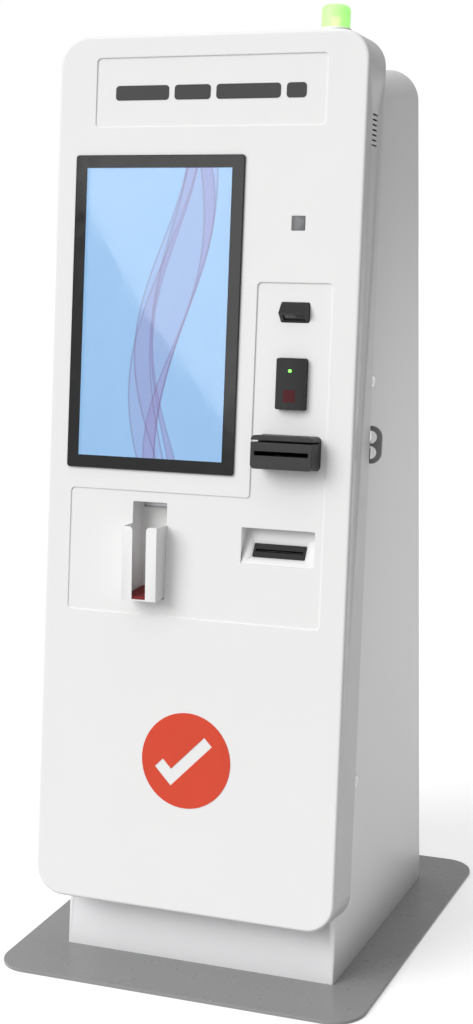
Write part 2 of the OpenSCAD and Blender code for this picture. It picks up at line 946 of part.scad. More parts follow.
module scanner_hood() {
    lo = scan_s - scan_h / 2;
    hi = scan_s + scan_h / 2;
    color("black")
        on_door()
            difference() {
                union() {
                    intersection() {
                        along_x(around(dev_x, scan_w))
                            polygon([[24, lo], [4, lo], [-scan_nose, scan_s - 2], [2, hi], [24, hi]]);
                        slab(around(dev_x, scan_w), [-30, 30], [lo, hi], 3);
                    }
                    span(around(dev_x, scan_w + 16), [seat(scan_s + scan_h / 2 + 6), 24],
                        around(scan_s, scan_h + 12));
                }
                on_scan_face()
                    span(around(0, scan_w - 12), [-1, 5], [-17, -4]);
            }
}

module scanner_window() {
    color("maroon")
        on_door()
            on_scan_face()
                span(around(0, scan_w - 12 - fit), [3.4, 5], [-17 + fit, -4 - fit]);
}

tap_proud = 8;
tap_crown = 4;
tap_bow = (tap_w * tap_w / 4 + tap_crown * tap_crown) / (2 * tap_crown);

// Plan of the contactless reader's bowed front with its face moved in by t.
module tap_plan(w, t) {
    intersection() {
        translate([0, -tap_proud - tap_crown + tap_bow]) circle(tap_bow - t, $fn = 96);
        translate([-w / 2, -30]) square([w, 46]);
    }
}

// Height range of a piece of the contactless reader.
module tap_height(s) {
    translate([dev_x, 0, s[0]]) linear_extrude(s[1] - s[0]) children();
}

label_side = 20;
label_s = tap_s - 19.5;
lamp_s = tap_s + 21;

module contactless_reader() {
    color("dimgray")
        on_door()
            difference() {
                union() {
                    intersection() {
                        tap_height(around(tap_s, tap_h)) tap_plan(tap_w, 0);
                        slab(around(dev_x, tap_w), [-30, 30], around(tap_s, tap_h), 3);
                    }
                    span(around(dev_x, tap_w + 14), [seat(tap_s + tap_h / 2 + 7), 16],
                        around(tap_s, tap_h + 14));
                }
                tap_height(around(label_s, label_side + 0.1))
                    difference() {
                        tap_plan(label_side + 0.1, -1);
                        tap_plan(label_side + 0.1, 0.65);
                    }
                translate([dev_x, 0, lamp_s]) rotate([90, 0, 0]) cylinder(h = 20, r = 2.6);
            }
}

module reader_lamp() {
    color("lime")
        on_door()
            translate([dev_x, 0, lamp_s]) rotate([90, 0, 0])
                cylinder(h = tap_proud + tap_crown + 0.4, r = 2.5);
}

module reader_label() {
    color("maroon")
        on_door()
            tap_height(around(label_s, label_side))
                difference() {
                    tap_plan(label_side, 0);
                    tap_plan(label_side, 0.6);
                }
}

// ---- card reader ----

module card_reader() {
    color("dimgray")
        on_door()
            difference() {
                union() {
                    slab(around(dev_x, card_w), [-card_proud, reader_y0],
                        around(card_s, card_h), 7);
                    span(around(dev_x, card_w + 10), [seat(card_s + card_h / 2 + 5), reader_y0],
                        around(card_s, card_h + 10));
                }
                span(around(dev_x, card_w + 2), [-card_proud - 1, -card_proud + 32],
                    around(card_s + card_h / 2 - 9.5, 3));
                span(around(dev_x, card_slot_w), [-card_proud - 1, reader_y0 + 1],
                    around(card_s - 2, card_slot_h));
            }
}

module card_mechanism() {
    w = reader_in_w + 2 * reader_wall;
    h = reader_in_h + 2 * reader_wall;
    mid = card_s - 2;
    color("silver")
        on_door()
            difference() {
                span(around(dev_x, w), [reader_y0, reader_y1], around(mid, h));
                span(around(dev_x, reader_in_w), [reader_y0 + reader_wall, reader_y1 - reader_wall],
                    around(mid, reader_in_h));
                span(around(dev_x, card_slot_w), [reader_y0 - 1, reader_y0 + reader_wall + 1],
                    around(mid, card_slot_h));
                for (k = [-1, 1])
                    bar_x(around(dev_x, w + 2), reader_roll_y, mid + k * (reader_roll_r + 0.5),
                        3 + run);
            }
}

// Rubber roller on a steel shaft, above (1) or below (-1) the card.
module card_roller(k) {
    s = card_s - 2 + k * (reader_roll_r + 0.5);
    on_door() {
        bar_x(around(dev_x, reader_in_w - 8), reader_roll_y, s, reader_roll_r);
        bar_x(around(dev_x, reader_in_w + 2 * reader_wall + 4), reader_roll_y, s, 3);
    }
}

module card_drive_roller() { color("black") card_roller(-1); }
module card_idle_roller() { color("black") card_roller(1); }

// ---- printer ----

// Frame of the printer pocket's floor: z up the floor, y into the machine.
module on_pocket_floor() {
    on_door()
        translate([print_x, print_y, print_s])
            rotate([-print_tilt, 0, 0]) children();
}

// Side outline of the printer pocket, open for g in front of its lower edge.
module print_wedge(g) {
    polygon([[print_y - g, print_s], [print_y, print_s],
        [print_y + print_dip, print_s + print_h], [print_y - g, print_s + print_h]]);
}

// The same with the metal round it.
module pocket_side(g) {
    polygon([[0, print_s - g], [print_y + g, print_s - g],
        [print_y + print_dip + g, print_s + print_h + g], [0, print_s + print_h + g]]);
}

module printer_pocket() {
    g = pocket_wall;
    color("white")
        difference() {
            on_door()
                difference() {
                    intersection() {
                        along_x(around(print_x, print_w + 2 * g)) pocket_side(g);
                        span([0, door_hx], [seat(print_s + print_h + g) - fit / 2, 60], [0, door_h]);
                    }
                    along_x(around(print_x, print_w)) print_wedge(5);
                }
            on_pocket_floor()
                span(around(0, print_bezel_w + 0.2), [-1, 8], around(print_mid, print_bezel_h + 0.2));
        }
}

module paper_bezel() {
    color("black")
        on_pocket_floor()
            difference() {
                slab(around(0, print_bezel_w), [-1.5, 6.7], around(print_mid, print_bezel_h), 2);
                span(around(0, print_slot_w), [-2, 8], around(print_mid, print_slot_h));
            }
}

module printer_body() {
    w = 3;
    color("dimgray")
        on_pocket_floor()
            difference() {
                union() {
                    span(around(0, print_body_w), print_body, print_body_z);
                    for (x = around(0, print_body_w - w))
                        span(around(x, w), [print_body[1] - w, lid_pin_y + 3],
                            [lid_pin_z - 8, lid_pin_z + 3]);
                }
                span(around(0, print_body_w - 2 * w), [print_body[0] + w, print_body[1] - w],
                    [print_body_z[0] + w, print_body_z[1] + 1]);
                span(around(0, print_slot_w), [print_body[0] - 1, print_body[0] + w + 1],
                    around(print_mid, print_slot_h));
                bar_x(around(0, print_body_w + 2), platen_y, print_mid - platen_r, 3 + run);
                bar_x(around(0, print_body_w + 2), roll_y, roll_z, 3 + run);
                bar_x(around(0, print_body_w + 2), lid_pin_y, lid_pin_z, lid_pin_r + run);
            }
}

module platen_roller() {
    color("black")
        on_pocket_floor() {
            bar_x(around(0, print_slot_w), platen_y, print_mid - platen_r, platen_r);
            bar_x(around(0, print_body_w + 2), platen_y, print_mid - platen_r, 3);
        }
}

module paper_roll() {
    color("ivory")
        on_pocket_floor() {
            bar_x(around(0, roll_w), roll_y, roll_z, roll_d / 2);
            bar_x(around(0, print_body_w + 2), roll_y, roll_z, 3);
        }
}

module printer_lid() {
    w = print_body_w - 6 - 2 * fit;
    color("gray")
        on_pocket_floor() {
            span(around(0, w), [print_body[0], lid_pin_y],
                [print_body_z[1] + fit, print_body_z[1] + fit + 2.5]);
            bar_x(around(0, w), lid_pin_y, lid_pin_z, 2);
            bar_x(around(0, print_body_w), lid_pin_y, lid_pin_z, lid_pin_r);
        }
}

// ---- badge dispenser ----

// Height of the tray's level floor, at a depth d.
function tray_floor(d) = badge_lo + tray_wall + (d + tray_low_out) * tan(lean);

module badge_pocket() {
    g = pocket_wall;
    x = around(badge_x, badge_w);
    y = seat(badge_hi + g) - fit / 2;
    color("lightgray")
        on_door()
            difference() {
                along_x([x[0] - g, x[1] + g])
                    polygon([[y, tray_floor(y) - g], [badge_foot + g, tray_floor(badge_foot + g) - g],
                        [badge_dip + g, badge_mid], [badge_dip + g, badge_hi + g],
                        [y, badge_hi + g]]);
                along_x(x)
                    polygon([[-1, tray_floor(-1)], [badge_foot, tray_floor(badge_foot)],
                        [badge_dip, badge_mid], [badge_dip, badge_hi], [-1, badge_hi]]);
                span(around(badge_x, hopper_in[0]), [badge_dip - 1, badge_dip + g + 1],
                    [hopper_floor - 1, hopper_floor + 6]);
            }
}

module badge_tray() {
    x = around(badge_x, badge_w + 1.2);
    t = tray_wall;
    inner = t - tray_low_out;
    rim = 0.075;
    notch_r = 7;
    color("white")
        on_door()
            difference() {
                along_x(x)
                    polygon([[sunk(badge_lo), tray_floor(sunk(badge_lo)) - t],
                        [-tray_low_out, badge_lo], [-tray_top_out, badge_mid],
                        [sunk(badge_mid), badge_mid + rim * tray_top_out]]);
                along_x([x[0] + t, x[1] - t])
                    polygon([[8, tray_floor(8)], [inner, tray_floor(inner)],
                        [t - tray_top_out, badge_mid], [t - tray_top_out, badge_mid + 9],
                        [8, badge_mid + 9]]);
                along_y([-60, inner])
                    difference() {
                        translate([badge_x - tray_slot / 2 - notch_r, tray_floor(inner)])
                            square([tray_slot + 2 * notch_r, badge_mid - badge_lo]);
                        for (k = [-1, 1])
                            translate([badge_x + k * (tray_slot / 2 + notch_r), 0]) {
                                translate([-notch_r, badge_lo])
                                    square([2 * notch_r, badge_mid - badge_lo - notch_r]);
                                translate([0, badge_mid - notch_r]) circle(notch_r);
                            }
                    }
            }
}

module tray_pad() {
    y = [tray_wall + fit - tray_low_out, badge_foot - 1];
    color("firebrick")
        on_door()
            along_x(around(badge_x, badge_w - 2 * fit - 2 * tray_wall))
                polygon([[y[0], tray_floor(y[0])], [y[1], tray_floor(y[1])],
                    [y[1], tray_floor(y[1]) + pad_t], [y[0], tray_floor(y[0]) + pad_t]]);
}

module badge_hopper() {
    g = hopper_wall;
    x = around(badge_x, hopper_in[0]);
    y = [hopper_y0 + g, hopper_y0 + g + hopper_in[1]];
    color("silver")
        on_door()
            difference() {
                span([x[0] - g, x[1] + g], [hopper_y0, y[1] + g], [hopper_floor - 22, hopper_top]);
                span(x, y, [hopper_floor, hopper_top + 1]);
                span(x, [hopper_y0 - 1, y[1]], [hopper_floor - 23, hopper_floor - g]);
                span(x, [hopper_y0 - 1, y[0] + 1], [hopper_floor, hopper_floor + 1.6]);
                span(around(badge_x, 42), around(y[0] + 24, 19), [hopper_floor - g - 1, hopper_floor + 1]);
                bar_x([x[0] - 9, x[1] + 9], y[0] + 24, hopper_floor - feed_r, 3 + run);
            }
}

module blank_badges() {
    y0 = hopper_y0 + hopper_wall + fit;
    color("white")
        on_door()
            span(around(badge_x, card_size[0]), [y0, y0 + card_size[1]],
                [hopper_floor + 0.1, hopper_floor + stack_h]);
}

module card_weight() {
    y0 = hopper_y0 + hopper_wall;
    color("gray")
        on_door()
            span(around(badge_x, card_size[0] - 1), [y0 + 1, y0 + card_size[1] - 1],
                [hopper_floor + stack_h + fit, hopper_floor + stack_h + 14]);
}

module feed_roller() {
    y0 = hopper_y0 + hopper_wall;
    color("black")
        on_door() {
            bar_x(around(badge_x, 40), y0 + 24, hopper_floor - feed_r, feed_r - 0.1);
            bar_x(around(badge_x, hopper_in[0] + 2 * hopper_wall + 2), y0 + 24,
                hopper_floor - feed_r, 3);
        }
}

// ---- beacon and marks ----

module on_beacon() {
    on_door() translate([beacon_x, beacon_y, door_h]) children();
}

module beacon_base() {
    color("white")
        on_beacon() {
            difference() {
                cylinder(h = beacon_base_h, r = beacon_base_r);
                translate([0, 0, beacon_base_h - 2]) cylinder(h = 3, r = beacon_r + 0.1);
            }
            translate([0, 0, -14]) cylinder(h = 15, r = stem_r);
            translate([0, 0, -door_wall - 6]) cylinder(h = 6, r = 13, $fn = 6);
        }
}

module beacon_lamp() {
    color("honeydew")
        on_beacon()
            translate([0, 0, beacon_base_h - 2]) cylinder(h = 20, r = 7);
}

module beacon_lens() {
    round_top = 9;
    z0 = beacon_base_h - 2;
    z1 = beacon_base_h + beacon_h;
    color("palegreen")
        on_beacon()
            rotate_extrude($fn = 64)
                difference() {
                    intersection() {
                        union() {
                            translate([0, z0]) square([beacon_r, z1 - round_top - z0]);
                            translate([0, z0]) square([beacon_r - round_top, z1 - z0]);
                            translate([beacon_r - round_top, z1 - round_top]) circle(round_top);
                        }
                        square([beacon_r, z1]);
                    }
                    translate([0, z0 - 1])
                        square([beacon_r - lens_wall, z1 - z0 - lens_wall - 2]);
                }
}

bar_len = [96, 64, 112, 34];
bar_gap = 10;
bar_b = 24;
mark_t = 0.6;

// Offset of the k-th header bar from the first.
function bar_start(k) = k == 0 ? 0 : bar_start(k - 1) + bar_len[k - 1] + bar_gap;

module front_marks() {
    run_w = bar_start(3) + bar_len[3];
    tilt = atan((panel_dip - panel_foot) / (header_hi - header_lo));
    color("dimgray")
        on_door()
            translate([0, panel_foot, header_lo]) rotate([-tilt, 0, 0])
                for (k = [0 : 3])
                    slab([bar_start(k) - run_w / 2, bar_start(k) + bar_len[k] - run_w / 2],
                        [-mark_t, 0], around(55, bar_b), 6);
    color("orangered")
        on_door()
            along_y([-mark_t, 0])
                difference() {
                    translate([2, mark_s]) circle(mark_r, $fn = 96);
                    translate([-10, mark_s - 30]) rotate(45) square([82, 20]);
                    translate([-10, mark_s - 30]) rotate(135) square([42, 20]);
                }
}

// ---- every node ----

base_plate();
plinth_bolts();
cabinet_body();
door_seal();
rear_panel();
rear_panel_screws();
hinge_cabinet_leaves();
hinge_pins();
lock_barrels();
latch_plate();
equipment_shelf();
computer_case();
computer_button();
power_supply();
power_inlet();
inlet_rocker();
fan_frame();
fan_rotor();
upper_lock_core();
lower_lock_core();
key_cylinder();
key_tongue();
latch_knob();
latch_tongue();
door_shell();
door_keepers();
hinge_door_leaves();
screen_bezel();
touch_glass();
lcd_panel();
monitor_case();
speaker();
camera_window();
camera_module();
scanner_hood();
scanner_window();
contactless_reader();
reader_lamp();
reader_label();
card_reader();
card_mechanism();
card_drive_roller();
card_idle_roller();
printer_pocket();
paper_bezel();
printer_body();
platen_roller();
paper_roll();
printer_lid();
badge_pocket();
badge_tray();
tray_pad();
badge_hopper();
blank_badges();
card_weight();
feed_roller();
beacon_base();
beacon_lamp();
beacon_lens();
front_marks();
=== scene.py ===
"""Looks of a self-service kiosk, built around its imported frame.

A sloping door carries a portrait touch display, a camera, a code scanner, a contactless reader,
a card reader, a printer slot and a badge tray. It hangs on a sheet-steel cabinet that stands on
a floor plate. Lengths in the classes are millimetres. In the door's own axes x runs across, d runs
inwards from the door's face, and s runs up the slope from the door's lower edge.
"""

import json
import logging
import math
from dataclasses import dataclass, field
from enum import Enum
from typing import Callable, Sequence

import bmesh
import bpy
import numpy as np
from mathutils import Matrix, Vector
from mathutils.geometry import tessellate_polygon

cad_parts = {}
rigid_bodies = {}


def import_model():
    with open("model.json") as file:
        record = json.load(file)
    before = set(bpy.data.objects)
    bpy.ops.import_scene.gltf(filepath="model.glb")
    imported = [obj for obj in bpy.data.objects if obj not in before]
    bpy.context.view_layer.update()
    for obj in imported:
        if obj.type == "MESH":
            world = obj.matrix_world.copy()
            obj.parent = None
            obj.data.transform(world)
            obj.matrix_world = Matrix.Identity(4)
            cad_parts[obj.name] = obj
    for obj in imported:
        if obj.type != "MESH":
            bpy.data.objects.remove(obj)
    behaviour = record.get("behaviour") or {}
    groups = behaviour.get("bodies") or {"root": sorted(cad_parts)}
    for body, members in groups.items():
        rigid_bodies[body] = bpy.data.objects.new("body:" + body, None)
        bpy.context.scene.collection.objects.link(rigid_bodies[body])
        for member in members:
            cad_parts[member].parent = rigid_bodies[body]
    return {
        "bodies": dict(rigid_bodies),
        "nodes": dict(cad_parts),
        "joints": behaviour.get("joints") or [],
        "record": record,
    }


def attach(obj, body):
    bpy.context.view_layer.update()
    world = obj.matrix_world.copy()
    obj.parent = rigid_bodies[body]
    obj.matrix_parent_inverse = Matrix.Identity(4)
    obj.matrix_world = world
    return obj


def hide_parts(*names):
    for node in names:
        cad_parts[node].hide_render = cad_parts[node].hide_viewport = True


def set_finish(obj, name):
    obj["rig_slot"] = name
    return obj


MM = 0.001
LOG = logging.getLogger("kiosk")
Array = np.ndarray
Point = tuple[float, float, float]
Pair = tuple[float, float]
Colour = tuple[float, float, float]


class Body(Enum):
    """Bodies of the frame that pieces ride on."""

    CABINET = "cabinet"
    DOOR = "door"
    KEY = "key"
    LATCH = "latch"


class Sheen(Enum):
    """How a finish answers light, as the shader's roughness."""

    GLASSY = 0.05
    SATIN = 0.36
    MATT = 0.72


# ---- places ----


@dataclass(frozen=True)
class Place:
    """A frame of three axes in the object's own frame, taking millimetres to metres."""

    origin: Point
    tilt: float = 0.0

    def put(self, points: Array) -> Array:
        """Turns points of this frame into points of the object's frame.

        Every point is turned about X by the tilt, which leans the upward axis inwards, and is
        then moved by the origin.

        Args:
            points: an array whose last axis holds x, depth and height in millimetres.

        Returns:
            The same array in the object's frame, in metres.
        """
        x, d, s = points[..., 0], points[..., 1], points[..., 2]
        c, n = math.cos(self.tilt), math.sin(self.tilt)
        ox, oy, oz = self.origin
        return np.stack([ox + x, oy + d * c + s * n, oz + s * c - d * n], axis=-1) * MM

    def inner(self, x: float, d: float, s: float, tilt: float = 0.0) -> "Place":
        """A frame at a point of this one, leaned further by tilt."""
        at = self.put(np.array([x, d, s])) / MM
        return Place((float(at[0]), float(at[1]), float(at[2])), self.tilt + tilt)


LEAN = math.radians(8.85)
WORLD = Place((0.0, 0.0, 0.0))
FRONT = Place((0.0, -230.0, 6.0), LEAN)
DOOR = FRONT.inner(0.0, -84.8, 107.6)


# ---- outlines and surfaces ----


def rounded(corners: Sequence[Point], grow: float | Array = 0.0, steps: int = 8) -> Array:
    """Closed outline through corners, each turned into an arc of its own radius.

    Each corner moves out along the sum of its two edges' outward normals, and the arc's centre is
    the moved corner less that sum times the radius. Growing adds to the radius of an outer corner
    and takes from that of an inner one.

    Args:
        corners: x, height and radius of each corner, anticlockwise as seen from the front.
        grow: distance that the outline moves outwards.
        steps: pieces in each arc.

    Returns:
        Points x, height along the outline, the same number for every amount of growth.
    """
    at = np.array([c[:2] for c in corners], float)
    radius = np.array([c[2] for c in corners], float)
    along = np.roll(at, -1, axis=0) - at
    along /= np.linalg.norm(along, axis=1, keepdims=True)
    out_next = np.stack([along[:, 1], -along[:, 0]], axis=1)
    out_prev = np.roll(out_next, 1, axis=0)
    share = (out_prev + out_next) / (1 + np.sum(out_prev * out_next, axis=1))[:, None]
    before = np.roll(along, 1, axis=0)
    turn = np.sign(before[:, 0] * along[:, 1] - before[:, 1] * along[:, 0])
    size = np.maximum(radius + turn * grow, 0.0)
    centre = at + share * grow - share * (turn * size)[:, None]
    a0 = np.arctan2(out_prev[:, 1], out_prev[:, 0])
    a1 = np.arctan2(out_next[:, 1], out_next[:, 0])
    sweep = (a1 - a0 + math.pi) % (2 * math.pi) - math.pi
    t = np.linspace(0, 1, steps + 1)
    angle = a0[:, None] + sweep[:, None] * t[None, :]
    arc = np.stack([np.cos(angle), np.sin(angle)], axis=-1) * (turn * size)[:, None, None]
    return (centre[:, None, :] + arc).reshape(-1, 2)


def box_corners(x: Pair, s: Pair, radius: float) -> list[Point]:
    """Corners of a rectangle, anticlockwise from its lower right one."""
    return [(x[1], s[0], radius), (x[1], s[1], radius), (x[0], s[1], radius), (x[0], s[0], radius)]


def around(centre: float, width: float) -> Pair:
    """Two limits around a centre."""
    return centre - width / 2, centre + width / 2


def lift(outline: Array, depth: float | Array) -> Array:
    """Outline points x, height with a depth put between them."""
    d = np.broadcast_to(np.asarray(depth, float), outline.shape[:1])
    return np.stack([outline[:, 0], d, outline[:, 1]], axis=1)


def quarter(radius: float, steps: int = 5) -> list[Pair]:
    """Inset and depth of a rounded edge: inset is r(1 - sin a) and depth is r(1 - cos a)."""
    angle = np.linspace(0, math.pi / 2, steps + 1)
    return [(radius * (1 - math.sin(a)), radius * (1 - math.cos(a))) for a in angle]


@dataclass
class Skin:
    """A mesh being put together from grids and flat fills, in metres."""

    points: list[Array] = field(default_factory=list)
    faces: list[tuple[int, ...]] = field(default_factory=list)
    count: int = 0

    def loft(self, rings: Array, closed: bool = True, flip: bool = False) -> None:
        """Joins rings of points into a sheet of quads, each ring with the next.

        Args:
            rings: array of ring, point and coordinate.
            closed: whether each ring ends where it starts.
            flip: turns the faces to look the other way.
        """
        k, m = rings.shape[:2]
        index = np.arange(k * m).reshape(k, m) + self.count
        nxt = np.roll(index, -1, axis=1) if closed else index[:, 1:]
        here = index if closed else index[:, :-1]
        quads = np.stack([here[:-1], nxt[:-1], nxt[1:], here[1:]], axis=-1).reshape(-1, 4)
        if flip:
            quads = quads[:, ::-1]
        self.points.append(rings.reshape(-1, 3))
        self.faces += [tuple(q) for q in quads.tolist()]
        self.count += k * m

    def fill(self, loops: Sequence[Array], towards: Sequence[float]) -> None:
        """Fills a flat outline that may have holes.

        Args:
            loops: the outer loop and then the holes.
            towards: direction that the faces look in.
        """
        flat = np.concatenate(loops)
        found = tessellate_polygon([[Vector(p) for p in loop] for loop in loops])
        tri = np.array(found, int)
        a, b, c = flat[tri[:, 0]], flat[tri[:, 1]], flat[tri[:, 2]]
        wrong = np.cross(b - a, c - a) @ np.asarray(towards, float) < 0
        tri[wrong] = tri[wrong][:, ::-1]
        self.points.append(flat)
        self.faces += [tuple(t) for t in (tri + self.count).tolist()]
        self.count += len(flat)

    def build(self, name: str, sharp: float = 32.0, merge: float = 2e-6) -> bpy.types.Object:
        """Makes the mesh object, with doubles merged and its sharp edges marked.

        Args:
            name: name of the piece.
            sharp: angle in degrees from which an edge is drawn sharp.
            merge: distance in metres under which points are one.

        Returns:
            The object, linked to the scene.
        """
        mesh = bpy.data.meshes.new(name)
        mesh.from_pydata(np.concatenate(self.points), [], self.faces)
        tidy(mesh, merge)
        return finished(name, mesh, sharp)


def tidy(mesh: bpy.types.Mesh, merge: float) -> None:
    """Merges doubles and removes faces without area."""
    work = bmesh.new()
    work.from_mesh(mesh)
    bmesh.ops.remove_doubles(work, verts=work.verts, dist=merge)
    bmesh.ops.dissolve_degenerate(work, edges=work.edges, dist=merge)
    work.to_mesh(mesh)
    work.free()


def finished(name: str, mesh: bpy.types.Mesh, sharp: float) -> bpy.types.Object:
    """Puts a mesh in the scene with smooth shading up to an angle in degrees."""
    mesh.shade_smooth()
    mesh.set_sharp_from_angle(angle=math.radians(sharp))
    made = bpy.data.objects.new(name, mesh)
    bpy.context.scene.collection.objects.link(made)
    return made


def turned(place: Place, centre: Point, axis: str, profile: Sequence[Pair], turns: int = 64) -> Array:
    """Surface of a turned piece: a profile carried round an axis.

    Point (i, j) lies at the profile's radius i times (cos b, sin b) across the axis, and at its
    height i along it, where b goes once round.

    Args:
        place: frame that the piece is given in.
        centre: point on the axis.
        axis: "x", "d" or "s", the direction of the axis.
        profile: radius and height along the axis, from the inner end to the outer one.
        turns: points round the axis.

    Returns:
        Grid of points in metres.
    """
    b = np.linspace(0, 2 * math.pi, turns, endpoint=False)
    r, h = np.array(profile, float).T
    u, v = r[:, None] * np.cos(b), r[:, None] * np.sin(b)
    w = np.broadcast_to(h[:, None], u.shape)
    order = {"x": (w, u, v), "d": (v, w, u), "s": (u, v, w)}[axis]
    return place.put(np.stack(order, axis=-1) + np.array(centre))


def turned_piece(name: str, place: Place, centre: Point, axis: str,
                 profile: Sequence[Pair], turns: int = 64) -> bpy.types.Object:
    """A closed turned piece whose profile starts and ends on its axis."""
    skin = Skin()
    skin.loft(turned(place, centre, axis, profile, turns))
    made = skin.build(name)
    face_outwards(made)
    return made


def face_outwards(made: bpy.types.Object) -> None:
    """Turns the faces of a piece outwards, which is away from its middle on the whole."""
    work = bmesh.new()
    work.from_mesh(made.data)
    bmesh.ops.recalc_face_normals(work, faces=work.faces)
    middle = sum((v.co for v in work.verts), Vector()) / len(work.verts)
    away = sum(f.normal.dot(f.calc_center_median() - middle) * f.calc_area() for f in work.faces)
    if away < 0:
        bmesh.ops.reverse_faces(work, faces=work.faces)
    work.to_mesh(made.data)
    work.free()


def face_sight(made: bpy.types.Object) -> None:
    """Turns the faces of an open sheet so that they look out of the front on the whole."""
    work = bmesh.new()
    work.from_mesh(made.data)
    bmesh.ops.recalc_face_normals(work, faces=work.faces)
    if sum(f.normal.y * f.calc_area() for f in work.faces) > 0:
        bmesh.ops.reverse_faces(work, faces=work.faces)
    work.to_mesh(made.data)
    work.free()


def softened(nodes: Sequence[str], name: str, edge: float, steps: int = 3,
             sharp: float = 30.0) -> bpy.types.Object:
    """A copy of frame nodes whose edges are broken by a small round, as pressed or moulded ones are.

    The copy's doubles are merged and its flat faces joined, and a Bevel modifier rounds each edge
    whose faces meet at more than the sharp angle.

    Args:
        nodes: the frame's nodes.
        name: name of the new piece.
        edge: width of the round in millimetres.
        steps: segments of the round.
        sharp: angle in degrees from which an edge is rounded.

    Returns:
        The new piece.
    """
    mesh = bpy.data.meshes.new(name)
    work = bmesh.new()
    for node in nodes:
        work.from_mesh(FRAME["nodes"][node].data)
    bmesh.ops.remove_doubles(work, verts=work.verts, dist=1e-5)
    bmesh.ops.dissolve_degenerate(work, edges=work.edges, dist=1e-6)
    bmesh.ops.dissolve_limit(work, angle_limit=math.radians(1.0), verts=work.verts, edges=work.edges)
    work.to_mesh(mesh)
    work.free()
    made = finished(name, mesh, 180.0)
    bevel = made.modifiers.new("edge_round", "BEVEL")
    bevel.width = edge * MM
    bevel.segments = steps
    bevel.limit_method = "ANGLE"
    bevel.angle_limit = math.radians(sharp)
    bevel.harden_normals = True
    bevel.use_clamp_overlap = True
    return made


# ---- finishes ----


class Graph:
    """Short ways to lay out a material's nodes."""

    def __init__(self, name: str) -> None:
        """Starts a material with one Principled shader."""
        self.material = bpy.data.materials.new(name)
        self.material.use_nodes = True
        self.tree = self.material.node_tree
        self.tree.nodes.clear()
        self.out = self.tree.nodes.new("ShaderNodeOutputMaterial")
        self.shader = self.tree.nodes.new("ShaderNodeBsdfPrincipled")
        self.tree.links.new(self.shader.outputs["BSDF"], self.out.inputs["Surface"])
        self.coords = self.tree.nodes.new("ShaderNodeTexCoord").outputs["Object"]

    def feed(self, socket: bpy.types.NodeSocket, value: object) -> None:
        """Sets a socket to a number, or links it to another socket."""
        if isinstance(value, bpy.types.NodeSocket):
            self.tree.links.new(value, socket)
        else:
            socket.default_value = value

    def maths(self, operation: str, *values: object, clamp: bool = False) -> bpy.types.NodeSocket:
        """One step of arithmetic.

        Args:
            operation: the Math node's operation.
            values: its inputs, numbers or sockets.
            clamp: keeps the result from 0 to 1.

        Returns:
            The result's socket.
        """
        made = self.tree.nodes.new("ShaderNodeMath")
        made.operation, made.use_clamp = operation, clamp
        for k, value in enumerate(values):
            self.feed(made.inputs[k], value)
        return made.outputs[0]

    def stretched(self, scale: Point) -> bpy.types.NodeSocket:
        """Object coordinates scaled apart along the axes."""
        made = self.tree.nodes.new("ShaderNodeMapping")
        made.inputs["Scale"].default_value = scale
        self.feed(made.inputs["Vector"], self.coords)
        return made.outputs[0]

    def noise(self, scale: float, detail: float = 3.0, where: bpy.types.NodeSocket | None = None,
              rough: float = 0.55) -> bpy.types.NodeSocket:
        """Noise from 0 to 1 at a scale in patches per metre."""
        made = self.tree.nodes.new("ShaderNodeTexNoise")
        made.inputs["Scale"].default_value = scale
        made.inputs["Detail"].default_value = detail
        made.inputs["Roughness"].default_value = rough
        self.feed(made.inputs["Vector"], where or self.coords)
        return made.outputs["Fac"]

    def range(self, value: object, low: float, high: float, to_low: float,
              to_high: float) -> bpy.types.NodeSocket:
        """Maps low..high of a value onto to_low..to_high and stops at both ends."""
        made = self.tree.nodes.new("ShaderNodeMapRange")
        for key, number in zip(("From Min", "From Max", "To Min", "To Max"), (low, high, to_low, to_high)):
            made.inputs[key].default_value = number
        self.feed(made.inputs["Value"], value)
        return made.outputs["Result"]

    def mix(self, share: object, first: object, second: object) -> bpy.types.NodeSocket:
        """Colour that goes from first to second as share goes from 0 to 1."""
        made = self.tree.nodes.new("ShaderNodeMix")
        made.data_type = "RGBA"
        self.feed(made.inputs["Factor"], share)
        for key, colour in (("A", first), ("B", second)):
            socket = [s for s in made.inputs if s.name == key and s.type == "RGBA"][0]
            self.feed(socket, (*colour, 1.0) if isinstance(colour, tuple) and len(colour) == 3 else colour)
        return [s for s in made.outputs if s.type == "RGBA"][0]

    def bump(self, height: object, distance: float, strength: float = 1.0) -> None:
        """Raises the surface by height times distance in metres."""
        made = self.tree.nodes.new("ShaderNodeBump")
        made.inputs["Strength"].default_value = strength
        made.inputs["Distance"].default_value = distance
        self.feed(made.inputs["Height"], height)
        self.feed(self.shader.inputs["Normal"], made.outputs["Normal"])


def shade(colour: Colour, by: float) -> Colour:
    """A colour made lighter or darker by a factor."""
    return tuple(min(1.0, c * by) for c in colour)


